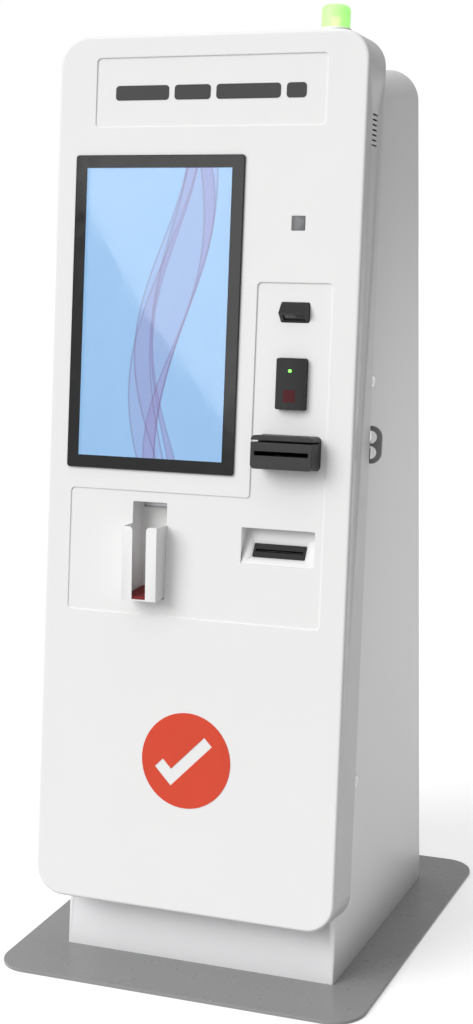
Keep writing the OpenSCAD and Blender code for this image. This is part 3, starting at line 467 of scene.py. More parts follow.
@dataclass(frozen=True)
class Finish:
    """An opaque surface with grain, a slow change of tone, and wear.

    grain is the number of grains per metre and relief their height in micrometres. drift is the
    share by which the colour wanders, and wear how much light scuffing shows.
    """

    name: str
    colour: Colour
    sheen: float = Sheen.SATIN.value
    metal: float = 0.0
    grain: float = 900.0
    relief: float = 18.0
    drift: float = 0.05
    wear: float = 0.15
    coat: float = 0.0
    stretch: Point = (1.0, 1.0, 1.0)
    dust: float = 0.0

    def material(self) -> bpy.types.Material:
        """Builds the finish's material, or gives the one already made."""
        found = bpy.data.materials.get(self.name)
        if found:
            return found
        g = Graph(self.name)
        self.paint(g)
        return g.material

    def paint(self, g: Graph) -> None:
        """Lays the colour, roughness and bump of the finish.

        The colour drifts between a darker and a lighter shade with slow noise, scuffs from
        stretched fine noise lighten it, and dust greys what is low. Roughness follows both, and
        the bump is the grain's noise.

        Args:
            g: the material's nodes.
        """
        where = g.stretched(self.stretch)
        slow = g.noise(7.0, 4.0)
        fine = g.noise(self.grain, 2.0, where)
        scuff = g.noise(60.0, 6.0, g.stretched((1.0, 1.0, 0.35)), 0.7)
        marks = g.range(scuff, 0.62, 0.78, 0.0, self.wear)
        tone = g.mix(slow, shade(self.colour, 1 - self.drift), shade(self.colour, 1 + self.drift))
        tone = g.mix(g.range(fine, 0.35, 0.65, 0.0, 0.35 * self.drift + 0.02), tone, shade(self.colour, 0.8))
        worn = tuple(0.5 * c + 0.5 * (0.5 if max(self.colour) < 0.4 else 0.62) for c in self.colour)
        tone = g.mix(g.maths("MULTIPLY", marks, 0.5), tone, worn)
        if self.dust:
            height = g.tree.nodes.new("ShaderNodeSeparateXYZ")
            g.feed(height.inputs[0], g.coords)
            low = g.range(height.outputs["Z"], 0.0, 0.16, self.dust, 0.0)
            patch = g.maths("MULTIPLY", low, g.range(g.noise(26.0, 5.0), 0.3, 0.7, 0.2, 1.0))
            tone = g.mix(patch, tone, (0.33, 0.31, 0.28))
        g.feed(g.shader.inputs["Base Color"], tone)
        g.shader.inputs["Metallic"].default_value = self.metal
        g.shader.inputs["Coat Weight"].default_value = self.coat
        g.shader.inputs["Coat Roughness"].default_value = 0.08
        rough = g.range(g.noise(34.0, 4.0), 0.3, 0.7, max(0.02, self.sheen - 0.05), self.sheen + 0.06)
        g.feed(g.shader.inputs["Roughness"], g.maths("ADD", rough, g.maths("MULTIPLY", marks, 0.35)))
        g.bump(fine, self.relief * 1e-6)


@dataclass(frozen=True)
class Brushed(Finish):
    """Bare or plated metal whose grain is drawn out along one axis."""

    metal: float = 1.0
    sheen: float = 0.3
    grain: float = 1400.0
    relief: float = 6.0
    drift: float = 0.08
    stretch: Point = (0.06, 1.0, 1.0)


@dataclass(frozen=True)
class Glassware(Finish):
    """A clear or tinted body that light passes through, with smears on its surface."""

    sheen: float = Sheen.GLASSY.value
    through: float = 1.0
    ior: float = 1.5
    glow: float = 0.0

    def paint(self, g: Graph) -> None:
        """Sets transmission, a tint that drifts a little, smears in the roughness and any glow.

        Args:
            g: the material's nodes.
        """
        smear = g.noise(18.0, 6.0, g.stretched((1.0, 1.0, 0.4)), 0.65)
        g.feed(g.shader.inputs["Base Color"],
               g.mix(g.range(smear, 0.3, 0.7, 0.0, 1.0), shade(self.colour, 1 - self.drift), self.colour))
        dull = self.sheen + 0.06 + self.wear * 0.2
        g.feed(g.shader.inputs["Roughness"], g.range(smear, 0.45, 0.8, self.sheen, dull))
        g.shader.inputs["Transmission Weight"].default_value = self.through
        g.shader.inputs["IOR"].default_value = self.ior
        if self.glow:
            g.shader.inputs["Emission Color"].default_value = (*self.colour, 1.0)
            g.shader.inputs["Emission Strength"].default_value = self.glow
        g.bump(g.noise(self.grain, 2.0), self.relief * 1e-6)


@dataclass(frozen=True)
class Lamp(Finish):
    """A lit plastic piece, brightest where its noise is highest."""

    glow: float = 3.0

    def paint(self, g: Graph) -> None:
        """Adds an even glow to a plastic surface.

        Args:
            g: the material's nodes.
        """
        super().paint(g)
        g.feed(g.shader.inputs["Emission Color"],
               g.mix(g.noise(300.0, 2.0), shade(self.colour, 0.9), self.colour))
        g.shader.inputs["Emission Strength"].default_value = self.glow


@dataclass(frozen=True)
class Ribbon:
    """One translucent band of the display's picture.

    Its centre line is x = middle + sway sin(pace v + start), and its half-width is
    width (1.15 + sin(pace_w v + start_w)) / 2, where v goes from -1 at the foot to 1 at the top.
    """

    middle: float
    sway: float
    pace: float
    start: float
    width: float
    pace_w: float
    start_w: float
    depth: float = 0.4


@dataclass(frozen=True)
class LitPicture(Finish):
    """The display's picture: a pale blue field with violet bands that swing and cross."""

    centre: Pair = (0.0, 1.0)
    half: Pair = (0.13, 0.235)
    field_low: Colour = (0.285, 0.525, 0.84)
    field_high: Colour = (0.29, 0.54, 0.86)
    band: Colour = (0.27, 0.2, 0.5)
    rim: Colour = (0.15, 0.06, 0.26)
    glow: float = 1.0
    ribbons: tuple[Ribbon, ...] = (
        Ribbon(0.27, 0.385, 1.7, -0.37, 0.279, 1.77, 1.48, 0.3),
        Ribbon(0.225, 0.255, 2.2, -1.197, 0.07, 2.15, -1.205, 0.5),
        Ribbon(0.335, 0.36, 1.9, 0.26, 0.07, 3.6, -1.571, 0.42),
        Ribbon(0.14, 0.3, 2.0, -1.1, 0.1, 2.6, 2.4, 0.26),
    )

    def paint(self, g: Graph) -> None:
        """Draws the bands over the field and makes the result glow.

        A band's share is a smooth step of its half-width less the distance from its centre line,
        with a thin darker line at each side where that difference is near nought.

        Args:
            g: the material's nodes.
        """
        apart = g.tree.nodes.new("ShaderNodeSeparateXYZ")
        g.feed(apart.inputs[0], g.coords)
        u = g.maths("DIVIDE", g.maths("SUBTRACT", apart.outputs["X"], self.centre[0]), self.half[0])
        v = g.maths("DIVIDE", g.maths("SUBTRACT", apart.outputs["Z"], self.centre[1]), self.half[1])
        tone = g.mix(g.range(v, -1.0, 1.0, 0.0, 1.0), self.field_low, self.field_high)
        for r in self.ribbons:
            line = g.maths("SINE", g.maths("MULTIPLY_ADD", v, r.pace, r.start))
            line = g.maths("MULTIPLY_ADD", line, r.sway, r.middle)
            wide = g.maths("SINE", g.maths("MULTIPLY_ADD", v, r.pace_w, r.start_w))
            wide = g.maths("MULTIPLY", g.maths("ADD", wide, 1.15), r.width / 2)
            inside = g.maths("SUBTRACT", wide, g.maths("ABSOLUTE", g.maths("SUBTRACT", u, line)))
            body = g.range(inside, 0.0, 0.02, 0.0, r.depth)
            rim = g.range(g.maths("ABSOLUTE", inside), 0.0, 0.018, 0.6, 0.0)
            tone = g.mix(body, tone, self.band)
            tone = g.mix(rim, tone, self.rim)
        g.shader.inputs["Base Color"].default_value = (0.02, 0.02, 0.025, 1.0)
        g.shader.inputs["Roughness"].default_value = 0.4
        g.feed(g.shader.inputs["Emission Color"], tone)
        g.shader.inputs["Emission Strength"].default_value = self.glow


@dataclass(frozen=True)
class TwoInks(Finish):
    """Film marks cut in two colours: one above a height and one below it."""

    upper: Colour = (0.05, 0.05, 0.052)
    split: float = 0.9

    def paint(self, g: Graph) -> None:
        """Lays both inks, with the grain of cut film.

        Args:
            g: the material's nodes.
        """
        super().paint(g)
        apart = g.tree.nodes.new("ShaderNodeSeparateXYZ")
        g.feed(apart.inputs[0], g.coords)
        slow = g.noise(9.0, 4.0)
        lower = g.mix(slow, shade(self.colour, 0.92), shade(self.colour, 1.06))
        upper = g.mix(slow, shade(self.upper, 0.85), shade(self.upper, 1.2))
        above = g.maths("GREATER_THAN", apart.outputs["Z"], self.split)
        g.feed(g.shader.inputs["Base Color"], g.mix(above, lower, upper))


WHITE_SHELL = Finish("white_shell_paint", (0.8, 0.8, 0.797), 0.34, grain=1500, relief=10, drift=0.012,
                     wear=0.1)
CABINET_PAINT = Finish("cabinet_paint", (0.86, 0.86, 0.862), 0.42, grain=1300, relief=16, drift=0.02,
                       wear=0.12, dust=0.12)
PLATE_PAINT = Finish("floor_plate_paint", (0.265, 0.265, 0.268), 0.3, grain=1100, relief=12, drift=0.02,
                     wear=0.0, coat=0.15)
ZINC = Brushed("zinc_plate", (0.62, 0.63, 0.65))
LOCK_METAL = Brushed("satin_lock_metal", (0.6, 0.6, 0.61), sheen=0.24)
LATCH_METAL = Finish("latch_plate_grey", (0.24, 0.24, 0.245), 0.45, grain=1200, relief=12)
HINGE_STEEL = Brushed("hinge_steel", (0.56, 0.57, 0.59), sheen=0.34, stretch=(1.0, 1.0, 0.06))
BLACK_PLASTIC = Finish("black_moulding", (0.02, 0.02, 0.021), 0.42, grain=1800, relief=14, drift=0.15,
                       wear=0.3)
READER_PLASTIC = Finish("reader_moulding", (0.021, 0.021, 0.022), 0.52, grain=1600, relief=22,
                        drift=0.12, wear=0.3)
CARD_PLASTIC = Finish("card_reader_moulding", (0.034, 0.034, 0.036), 0.46, grain=1500, relief=24,
                      drift=0.12, wear=0.35)
BEZEL_BLACK = Finish("display_frame_black", (0.016, 0.016, 0.017), 0.09, grain=500, relief=0.6,
                     drift=0.1, wear=0.1)
GREY_PLASTIC = Finish("grey_moulding", (0.3, 0.31, 0.32), 0.45, grain=1500, relief=18)
SCREEN_GLASS = Glassware("display_glass", (0.98, 0.99, 1.0), 0.02, relief=0.2, grain=300, drift=0.01,
                         wear=0.1)
CAMERA_GLASS = Finish("camera_tint", (0.15, 0.154, 0.158), 0.16, grain=700, relief=1.0, coat=0.6)
SCAN_GLASS = Finish("scanner_tint", (0.05, 0.05, 0.052), 0.12, grain=700, relief=1.0, coat=0.5)
RUBBER = Finish("roller_rubber", (0.02, 0.02, 0.02), Sheen.MATT.value, grain=2200, relief=30)
SEAL_FOAM = Finish("seal_foam", (0.025, 0.025, 0.025), 0.85, grain=1600, relief=120)
PAPER = Finish("paper_roll_white", (0.86, 0.85, 0.81), 0.8, grain=2500, relief=14, drift=0.02, wear=0.05)
CARD_STOCK = Finish("blank_card_white", (0.88, 0.88, 0.87), 0.35, grain=1250, relief=30, drift=0.02,
                    stretch=(0.02, 0.02, 1.0))
RED_PAD = Finish("tray_pad_red", (0.2, 0.018, 0.018), 0.7, grain=1400, relief=60, drift=0.12, wear=0.25)
LABEL_RED = Finish("reader_label_red", (0.062, 0.003, 0.006), 0.55, grain=900, relief=4)
MARK_FILM = TwoInks("mark_film", (0.64, 0.055, 0.02), 0.38, grain=800, relief=5, drift=0.04, wear=0.05)
BEACON_SHELL = Finish("beacon_base_white", (0.85, 0.85, 0.83), 0.22, grain=900, relief=5, drift=0.02)
ROCKER_RED = Finish("rocker_red", (0.5, 0.03, 0.03), 0.2, grain=900, relief=4)
LED_GREEN = Lamp("reader_led_green", (0.12, 1.0, 0.06), 0.3, glow=5.0)
BEACON_GREEN = Glassware("beacon_lens_green", (0.56, 0.93, 0.38), 0.25, through=0.3, glow=0.3, grain=220,
                         relief=30, drift=0.06)
BEACON_LAMP = Lamp("beacon_core_green", (0.72, 1.0, 0.5), 0.4, glow=9.0)

CARRIED: dict[str, tuple[Finish, str]] = {
    "plinth_bolts": (ZINC, "zinc_steel"), "door_seal": (SEAL_FOAM, "seal_rubber"),
    "hinge_pins": (HINGE_STEEL, "hinge_steel"), "rear_panel_screws": (ZINC, "zinc_steel"),
    "equipment_shelf": (ZINC, "zinc_steel"), "computer_case": (BLACK_PLASTIC, "black_plastic"),
    "computer_button": (LOCK_METAL, "lock_metal"), "power_supply": (ZINC, "zinc_steel"),
    "power_inlet": (BLACK_PLASTIC, "black_plastic"), "inlet_rocker": (ROCKER_RED, "rocker_red"),
    "fan_frame": (BLACK_PLASTIC, "black_plastic"), "fan_rotor": (BLACK_PLASTIC, "black_plastic"),
    "door_keepers": (ZINC, "zinc_steel"), "monitor_case": (ZINC, "zinc_steel"),
    "speaker": (BLACK_PLASTIC, "black_plastic"), "camera_module": (BLACK_PLASTIC, "black_plastic"),
    "scanner_window": (SCAN_GLASS, "scan_glass"), "reader_label": (LABEL_RED, "label_red"),
    "card_mechanism": (ZINC, "zinc_steel"), "card_drive_roller": (RUBBER, "rubber"),
    "card_idle_roller": (RUBBER, "rubber"), "printer_body": (GREY_PLASTIC, "grey_plastic"),
    "platen_roller": (RUBBER, "rubber"), "paper_roll": (PAPER, "paper"),
    "printer_lid": (GREY_PLASTIC, "grey_plastic"), "badge_hopper": (ZINC, "zinc_steel"),
    "blank_badges": (CARD_STOCK, "card_stock"), "card_weight": (LATCH_METAL, "latch_metal"),
    "feed_roller": (RUBBER, "rubber"), "beacon_lamp": (BEACON_LAMP, "beacon_light"),
    "touch_glass": (SCREEN_GLASS, "screen_glass"), "lower_lock_core": (LOCK_METAL, "lock_metal"),
    "upper_lock_core": (LOCK_METAL, "lock_metal"), "key_tongue": (ZINC, "zinc_steel"),
    "latch_tongue": (ZINC, "zinc_steel"), "front_marks": (MARK_FILM, "mark_ink"),
}


def dress(made: bpy.types.Object, finish: Finish) -> None:
    """Gives an object a finish through its own material slots."""
    if not made.material_slots:
        made.data.materials.append(finish.material())
    for held in made.material_slots:
        held.link = "OBJECT"
        held.material = finish.material()


def install(made: bpy.types.Object, finish: Finish, slot: str, body: Body, *nodes: str) -> bpy.types.Object:
    """Dresses a new piece, sets it on its body and lets it stand for frame nodes.

    Args:
        made: the new piece.
        finish: what it is finished in.
        slot: the record's material slot.
        body: the body that it rides on.
        nodes: the frame nodes that it replaces.

    Returns:
        The piece.
    """
    made.data.materials.clear()
    made.data.materials.append(finish.material())
    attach(made, body.value)
    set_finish(made, slot)
    if nodes:
        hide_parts(*nodes)
    return made


# ---- door ----


@dataclass
class DoorShell:
    """The folded sheet door: a rounded tray with two shallow panels and openings for devices."""

    half: float = 271.5
    length: float = 1449.0
    deep: float = 84.0
    wall: float = 2.5
    corner: float = 50.0
    front_round: float = 5.0
    back_round: float = 2.0
    way_half: float = 228.0
    way: Pair = (24.0, 1372.0)
    dip: float = 2.4
    foot_dip: float = 1.6
    header: Pair = (1300.0, 1412.5)
    header_half: float = 203.0
    device: Pair = (495.0, 1049.3)
    device_step: float = 700.5
    device_half: float = 226.5
    device_inner: float = 97.5
    panel_corner: float = 7.0
    lip: float = 1.2
    cut_lip: float = 0.8
    border: float = 1.6
    device_x: float = 163.5
    slots_s: float = 1295.0
    slots_pitch: float = 8.0
    slots_d: Pair = (28.0, 53.0)
    slots_count: int = 7

    def header_corners(self) -> list[Point]:
        """Corners of the header panel."""
        return box_corners((-self.header_half, self.header_half), self.header, self.panel_corner)

    def device_corners(self) -> list[Point]:
        """Corners of the L-shaped device panel."""
        r, lo, hi = self.panel_corner, *self.device
        return [(self.device_half, lo, r), (self.device_half, hi, r), (self.device_inner, hi, r),
                (self.device_inner, self.device_step, 6.0), (-self.device_half, self.device_step, r),
                (-self.device_half, lo, r)]

    def cuts(self) -> list[tuple[list[Point], bool]]:
        """Openings in the face, each with whether it lies in the device panel."""
        return [
            (box_corners(around(-83.0, 276.0), around(994.3, 491.5), 3.0), False),
            (box_corners(around(self.device_x, 23.1), around(1144.3, 23.1), 1.0), False),
            (box_corners(around(self.device_x, 49.6), around(1002.5, 32.6), 3.0), True),
            (box_corners(around(self.device_x, 50.6), around(888.0, 82.6), 3.0), True),
            (box_corners(around(self.device_x, 106.0), around(778.0, 54.6), 7.0), True),
            (box_corners(around(149.0, 126.5), (592.6, 652.0), 1.5), True),
            (box_corners(around(-80.0, 61.4), (523.0, 683.0), 1.5), True),
        ]

    def sunk(self, outline: Array, span: Pair) -> Array:
        """Depth of a shallow panel's floor, which grows in line with height."""
        return self.foot_dip + (outline[:, 1] - span[0]) / (span[1] - span[0]) * (self.dip - self.foot_dip)

    def panel(self, skin: Skin, corners: list[Point], span: Pair,
              holes: list[Array]) -> Array:
        """Adds a shallow panel: a rounded lip, a wall and a floor with openings.

        The lip's radius is half the panel's depth at each point, up to the full lip. A flat border
        runs along both sides of the wall, so that the shading of the wide faces stays even.

        Args:
            skin: the mesh in the making.
            corners: the panel's outline.
            span: the heights of its foot and its top.
            holes: outlines of the openings in its floor.

        Returns:
            The loop where the panel meets the door's face.
        """
        foot = rounded(corners)
        deep = self.sunk(foot, span)
        lip = np.minimum(self.lip, deep / 2)
        grown = rounded(corners, 1.0) - foot
        rings = [lift(foot + grown * (lip + self.border)[:, None], 0.0)]
        for a in np.linspace(0, math.pi / 2, 5):
            out = foot + grown * (lip * (1 - math.sin(a)))[:, None]
            rings.append(lift(out, lip * (1 - math.cos(a))))
        turn = np.minimum(0.6, deep / 3)
        for a in np.linspace(0, math.pi / 2, 4):
            inn = foot - grown * (turn * (1 - math.cos(a)))[:, None]
            rings.append(lift(inn, deep - turn * (1 - math.sin(a))))
        for inset in (turn, turn + self.border):
            floor = foot - grown * inset[:, None]
            rings.append(lift(floor, self.sunk(floor, span)))
        skin.loft(DOOR.put(np.array(rings)))
        loops = [DOOR.put(rings[-1])]
        for hole in holes:
            loops.append(DOOR.put(lift(hole, self.sunk(hole, span))))
        skin.fill(loops, (0, -1, 0))
        return DOOR.put(rings[0])

    def opening(self, skin: Skin, corners: list[Point], sunk: bool) -> Array:
        """Adds the rounded lip of an opening and gives the loop where it meets its surface."""
        foot = rounded(corners, 0.0, 4)
        rim = rounded(corners, self.cut_lip, 4)
        outside = foot + (rim - foot) * (1 + self.border / self.cut_lip)
        rings = []
        for inset, drop in [(self.cut_lip + self.border, 0.0)] + quarter(self.cut_lip, 3):
            out = foot + (rim - foot) * (inset / self.cut_lip)
            base = self.sunk(out, self.device) if sunk else np.zeros(len(out))
            rings.append(lift(out, base + drop))
        skin.loft(DOOR.put(np.array(rings)))
        return outside

    def shell(self) -> bpy.types.Object:
        """Builds the outer skin and gives it its thickness inwards.

        Rings run from the face's edge round the front fold, along the sides and round the back
        fold, and the flat face, the right side with its slots and the back's rim are filled.

        Returns:
            The door shell.
        """
        skin = Skin()
        plan = box_corners((-self.half, self.half), (0.0, self.length), self.corner)
        steps = 12
        front = [(self.front_round + 1.5, 0.0)] + quarter(self.front_round, 7)
        rings = [lift(rounded(plan, -inset, steps), d) for inset, d in front]
        skin.loft(DOOR.put(np.array(rings)))
        edge = [lift(rounded(plan, 0.0, steps), d) for d in (self.front_round, self.deep - self.back_round)]
        self.sides(skin, np.array(edge), steps)
        rolled = []
        for a in np.linspace(0, math.pi / 2, 5):
            inset = self.back_round * (1 - math.cos(a))
            rolled.append(lift(rounded(plan, -inset, steps), self.deep - self.back_round * (1 - math.sin(a))))
        skin.loft(DOOR.put(np.array(rolled)))
        rim = lift(rounded(box_corners((-self.way_half, self.way_half), self.way, 3.0)), self.deep)
        skin.fill([DOOR.put(rolled[-1]), DOOR.put(rim)], (0, 1, 0))
        cuts = [(self.opening(skin, c, sunk), sunk) for c, sunk in self.cuts()]
        face = [DOOR.put(rings[0])]
        face.append(self.panel(skin, self.header_corners(), self.header, []))
        face.append(self.panel(skin, self.device_corners(), self.device, [c for c, sunk in cuts if sunk]))
        face += [DOOR.put(lift(c, 0.0)) for c, sunk in cuts if not sunk]
        skin.fill(face, (0, -1, 0))
        made = skin.build("door_skin")
        face_outwards(made)
        wall = made.modifiers.new("sheet", "SOLIDIFY")
        wall.thickness = self.wall * MM
        wall.offset = -1.0
        wall.use_even_offset = False
        return made

    def sides(self, skin: Skin, edge: Array, steps: int) -> None:
        """Adds the side walls, with the slots in the right one.

        Args:
            skin: the mesh in the making.
            edge: the front and back loops of the side walls.
            steps: pieces in each corner's arc.
        """
        start = steps
        order = np.roll(edge, -(start + 1), axis=1)
        skin.loft(DOOR.put(order), closed=False)
        wall = np.array([order[0, -1], order[0, 0], order[1, 0], order[1, -1]])
        loops = [DOOR.put(wall)]
        for k in range(self.slots_count):
            mid = self.slots_s + self.slots_pitch * (k - (self.slots_count - 1) / 2)
            slot = rounded([(*p, 1.2) for p in
                            ((self.slots_d[1], mid - 1.5), (self.slots_d[1], mid + 1.5),
                             (self.slots_d[0], mid + 1.5), (self.slots_d[0], mid - 1.5))], 0.0, 4)
            loops.append(DOOR.put(np.stack([np.full(len(slot), self.half), slot[:, 0], slot[:, 1]], axis=1)))
        skin.fill(loops, (1, 0, 0))

    def build(self) -> None:
        """Makes the shell and dresses it."""
        install(self.shell(), WHITE_SHELL, "white_paint", Body.DOOR, "door_shell")


@dataclass
class Display:
    """The portrait touch display: its frame and the picture behind the glass."""

    x: float = -83.0
    s: float = 994.3
    lit: Pair = (261.0, 476.5)
    border: float = 21.0
    proud: float = 4.0
    corner: float = 5.0
    edge: float = 0.8

    def frame(self) -> bpy.types.Object:
        """Builds the frame: a section with one rounded shoulder at its outer edge, carried round the lit
        area.

        Returns:
            The frame.
        """
        outer = box_corners(around(self.x, self.lit[0] + 2 * self.border),
                            around(self.s, self.lit[1] + 2 * self.border), self.corner)
        inner = box_corners(around(self.x, self.lit[0]), around(self.s, self.lit[1]), 0.4)
        rings = [lift(rounded(outer), 0.0)]
        for a in np.linspace(0, math.pi / 2, 5):
            rings.append(lift(rounded(outer, -self.edge * (1 - math.cos(a))),
                              -self.proud + self.edge * (1 - math.sin(a))))
        rings.append(lift(rounded(outer, -self.edge - 0.6), -self.proud))
        rings.append(lift(rounded(inner, 0.0), -self.proud))
        rings.append(lift(rounded(inner, 0.0), 0.0))
        rings.append(rings[0])
        skin = Skin()
        skin.loft(DOOR.put(np.array(rings)))
        made = skin.build("display_frame")
        face_outwards(made)
        return made

    def build(self) -> None:
        """Makes the frame and lights the picture."""
        install(self.frame(), BEZEL_BLACK, "bezel_plastic", Body.DOOR, "screen_bezel")
        middle = DOOR.put(np.array([self.x, 4.0, self.s]))
        picture = LitPicture(
            "display_picture", (0.3, 0.55, 0.88), centre=(float(middle[0]), float(middle[2])),
            half=(self.lit[0] / 2 * MM, self.lit[1] / 2 * MM * math.cos(LEAN)), glow=0.98)
        dress(FRAME["nodes"]["lcd_panel"], picture)
        FRAME["nodes"]["lcd_panel"]["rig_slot"] = "lcd_image"


@dataclass
class ContactlessReader:
    """The reader's housing, the frame's own with its edges broken, and its lamp."""

    x: float = 163.5
    proud: float = 8.0
    crown: float = 4.0
    edge: float = 1.6
    lamp_s: float = 909.0
    lamp_r: float = 2.5

    def lamp(self) -> bpy.types.Object:
        """Builds the lamp's domed lens, turned about its axis."""
        top = self.proud + self.crown
        arc = [(self.lamp_r * math.cos(a), top + 0.7 * math.sin(a)) for a in np.linspace(0, math.pi / 2, 6)]
        profile = [(0.0, top - 3.0), (self.lamp_r, top - 3.0), *arc[:-1], (0.0, top + 0.7)]
        profile = [(r, -h) for r, h in profile]
        return turned_piece("reader_led", DOOR, (self.x, 0.0, self.lamp_s), "d", profile, 32)

    def build(self) -> None:
        """Makes the housing and the lamp."""
        install(softened(["contactless_reader"], "contactless_housing", self.edge, 4), READER_PLASTIC,
                "dark_plastic", Body.DOOR, "contactless_reader")
        install(self.lamp(), LED_GREEN, "lamp_green", Body.DOOR, "reader_lamp")


@dataclass
class PrinterRecess:
    """The wedge-shaped recess over the printer, shallow at its foot and deep at its top."""

    x: float = 149.0
    width: float = 126.5
    s: Pair = (592.6, 652.0)
    deep: float = 28.0
    start: float = 1.741
    lip: float = 0.8
    fold: float = 0.5
    corner: float = 1.5
    wall: float = 1.6
    slot_mid: float = 25.5
    slot: Pair = (91.2, 24.2)

    def floor(self, outline: Array) -> Array:
        """Depth of the floor: the start, and then in line with height."""
        return self.start + (outline[:, 1] - self.s[0]) / (self.s[1] - self.s[0]) * self.deep

    def skin(self) -> bpy.types.Object:
        """Builds the recess: the rim, walls down to the floor, a small fold and the sloping floor.

        Returns:
            The recess, given its thickness away from the sight side.
        """
        plan = box_corners(around(self.x, self.width), self.s, self.corner)
        rim = rounded(plan, 0.0, 4)
        top = np.full(len(rim), self.start + self.lip)
        rings = [lift(rim, top), lift(rim, np.maximum(self.floor(rim) - self.fold, top))]
        for a in np.linspace(0, math.pi / 2, 4)[1:]:
            now = rounded(plan, -self.fold * (1 - math.cos(a)), 4)
            least = top * (a < 1.5)
            rings.append(lift(now, np.maximum(self.floor(now) - self.fold * (1 - math.sin(a)), least)))
        border = rounded(plan, -self.fold - 1.2, 4)
        rings.append(lift(border, self.floor(border)))
        made = Skin()
        made.loft(DOOR.put(np.array(rings)))
        turn = math.atan(self.deep / (self.s[1] - self.s[0]))
        mid = self.s[0] + self.slot_mid * math.cos(turn)
        tall = around(mid, self.slot[1] * math.cos(turn))
        hole = rounded(box_corners(around(self.x, self.slot[0]), tall, self.corner), 0.0, 4)
        made.fill([DOOR.put(rings[-1]), DOOR.put(lift(hole, self.floor(hole)))], (0, -1, 0))
        piece = made.build("printer_recess", sharp=20.0)
        face_sight(piece)
        sheet = piece.modifiers.new("sheet", "SOLIDIFY")
        sheet.thickness = self.wall * MM
        sheet.offset = -1.0
        return piece

    def build(self) -> None:
        """Makes the recess and dresses it."""
        install(self.skin(), WHITE_SHELL, "white_paint", Body.DOOR, "printer_pocket")


@dataclass
class SoftParts:
    """Pieces whose shape is the frame's own, with their edges broken."""

    rows: tuple[tuple[str, str, float, Finish, str, Body], ...] = (
        ("card_reader", "card_reader_housing", 1.0, CARD_PLASTIC, "dark_plastic", Body.DOOR),
        ("scanner_hood", "scanner_housing", 0.8, BLACK_PLASTIC, "black_plastic", Body.DOOR),
        ("camera_window", "camera_pane", 0.4, CAMERA_GLASS, "camera_glass", Body.DOOR),
        ("paper_bezel", "paper_slot_frame", 0.6, BLACK_PLASTIC, "black_plastic", Body.DOOR),
        ("badge_pocket", "badge_recess", 0.6, WHITE_SHELL, "white_paint", Body.DOOR),
        ("badge_tray", "badge_tray_sheet", 0.5, WHITE_SHELL, "white_paint", Body.DOOR),
        ("tray_pad", "tray_pad_rubber", 0.8, RED_PAD, "red_pad", Body.DOOR),
        ("hinge_door_leaves", "hinge_leaves_of_door", 0.4, HINGE_STEEL, "hinge_steel", Body.DOOR),
        ("hinge_cabinet_leaves", "hinge_leaves_of_cabinet", 0.4, HINGE_STEEL, "hinge_steel", Body.CABINET),
        ("latch_plate", "latch_plate_soft", 0.6, LATCH_METAL, "latch_metal", Body.CABINET),
        ("latch_knob", "latch_knob_soft", 0.5, LOCK_METAL, "lock_metal", Body.LATCH),
        ("key_cylinder", "key_cylinder_soft", 0.4, LOCK_METAL, "lock_metal", Body.KEY),
        ("lock_barrels", "lock_barrels_soft", 0.4, LOCK_METAL, "lock_metal", Body.CABINET),
        ("rear_panel", "rear_panel_sheet", 0.4, CABINET_PAINT, "cabinet_paint", Body.CABINET),
    )

    def build(self) -> None:
        """Makes each copy and dresses it."""
        for node, name, edge, finish, slot, body in self.rows:
            install(softened([node], name, edge), finish, slot, body, node)


@dataclass
class Beacon:
    """The green beacon on the door's top edge."""

    x: float = 198.0
    d: float = 42.0
    s: float = 1449.0
    base_r: float = 25.5
    base_h: float = 7.0
    lens_r: float = 23.2
    lens_h: float = 37.0
    top_round: float = 9.0
    wall: float = 2.2

    def lens(self) -> bpy.types.Object:
        """Builds the lens, a cup turned about its axis with a rounded shoulder."""
        z0, z1 = self.base_h - 2, self.base_h + self.lens_h
        r, t = self.lens_r, self.top_round
        outer = [(r, z0 + 0.01)] + [(r - t + t * math.cos(a), z1 - t + t * math.sin(a))
                                    for a in np.linspace(0, math.pi / 2, 10)]
        inner = [(0.0, z1 - self.wall - 2), (r - self.wall, z1 - self.wall - 4), (r - self.wall, z0 + 0.01)]
        profile = inner + outer + [(0.0, z1)]
        return turned_piece("beacon_cup", DOOR, (self.x, self.d, self.s), "s", profile, 72)

    def base(self) -> bpy.types.Object:
        """Builds the base ring with a rounded rim and a seat for the lens."""
        r, h = self.base_r, self.base_h
        rim = [(r - 1.5 + 1.5 * math.cos(a), h - 1.5 + 1.5 * math.sin(a))
               for a in np.linspace(0, math.pi / 2, 6)]
        profile = [(0.0, -2.4), (8.0, -2.4), (8.0, 0.0), (r, 0.0), *rim, (self.lens_r + 0.1, h),
                   (self.lens_r + 0.1, h - 2), (0.0, h - 2)]
        return turned_piece("beacon_ring", DOOR, (self.x, self.d, self.s), "s", profile, 72)

    def build(self) -> None:
        """Makes the base and the lens."""
        install(self.base(), BEACON_SHELL, "beacon_shell", Body.DOOR, "beacon_base")
        install(self.lens(), BEACON_GREEN, "beacon_green", Body.DOOR, "beacon_lens")


# ---- cabinet and floor plate ----


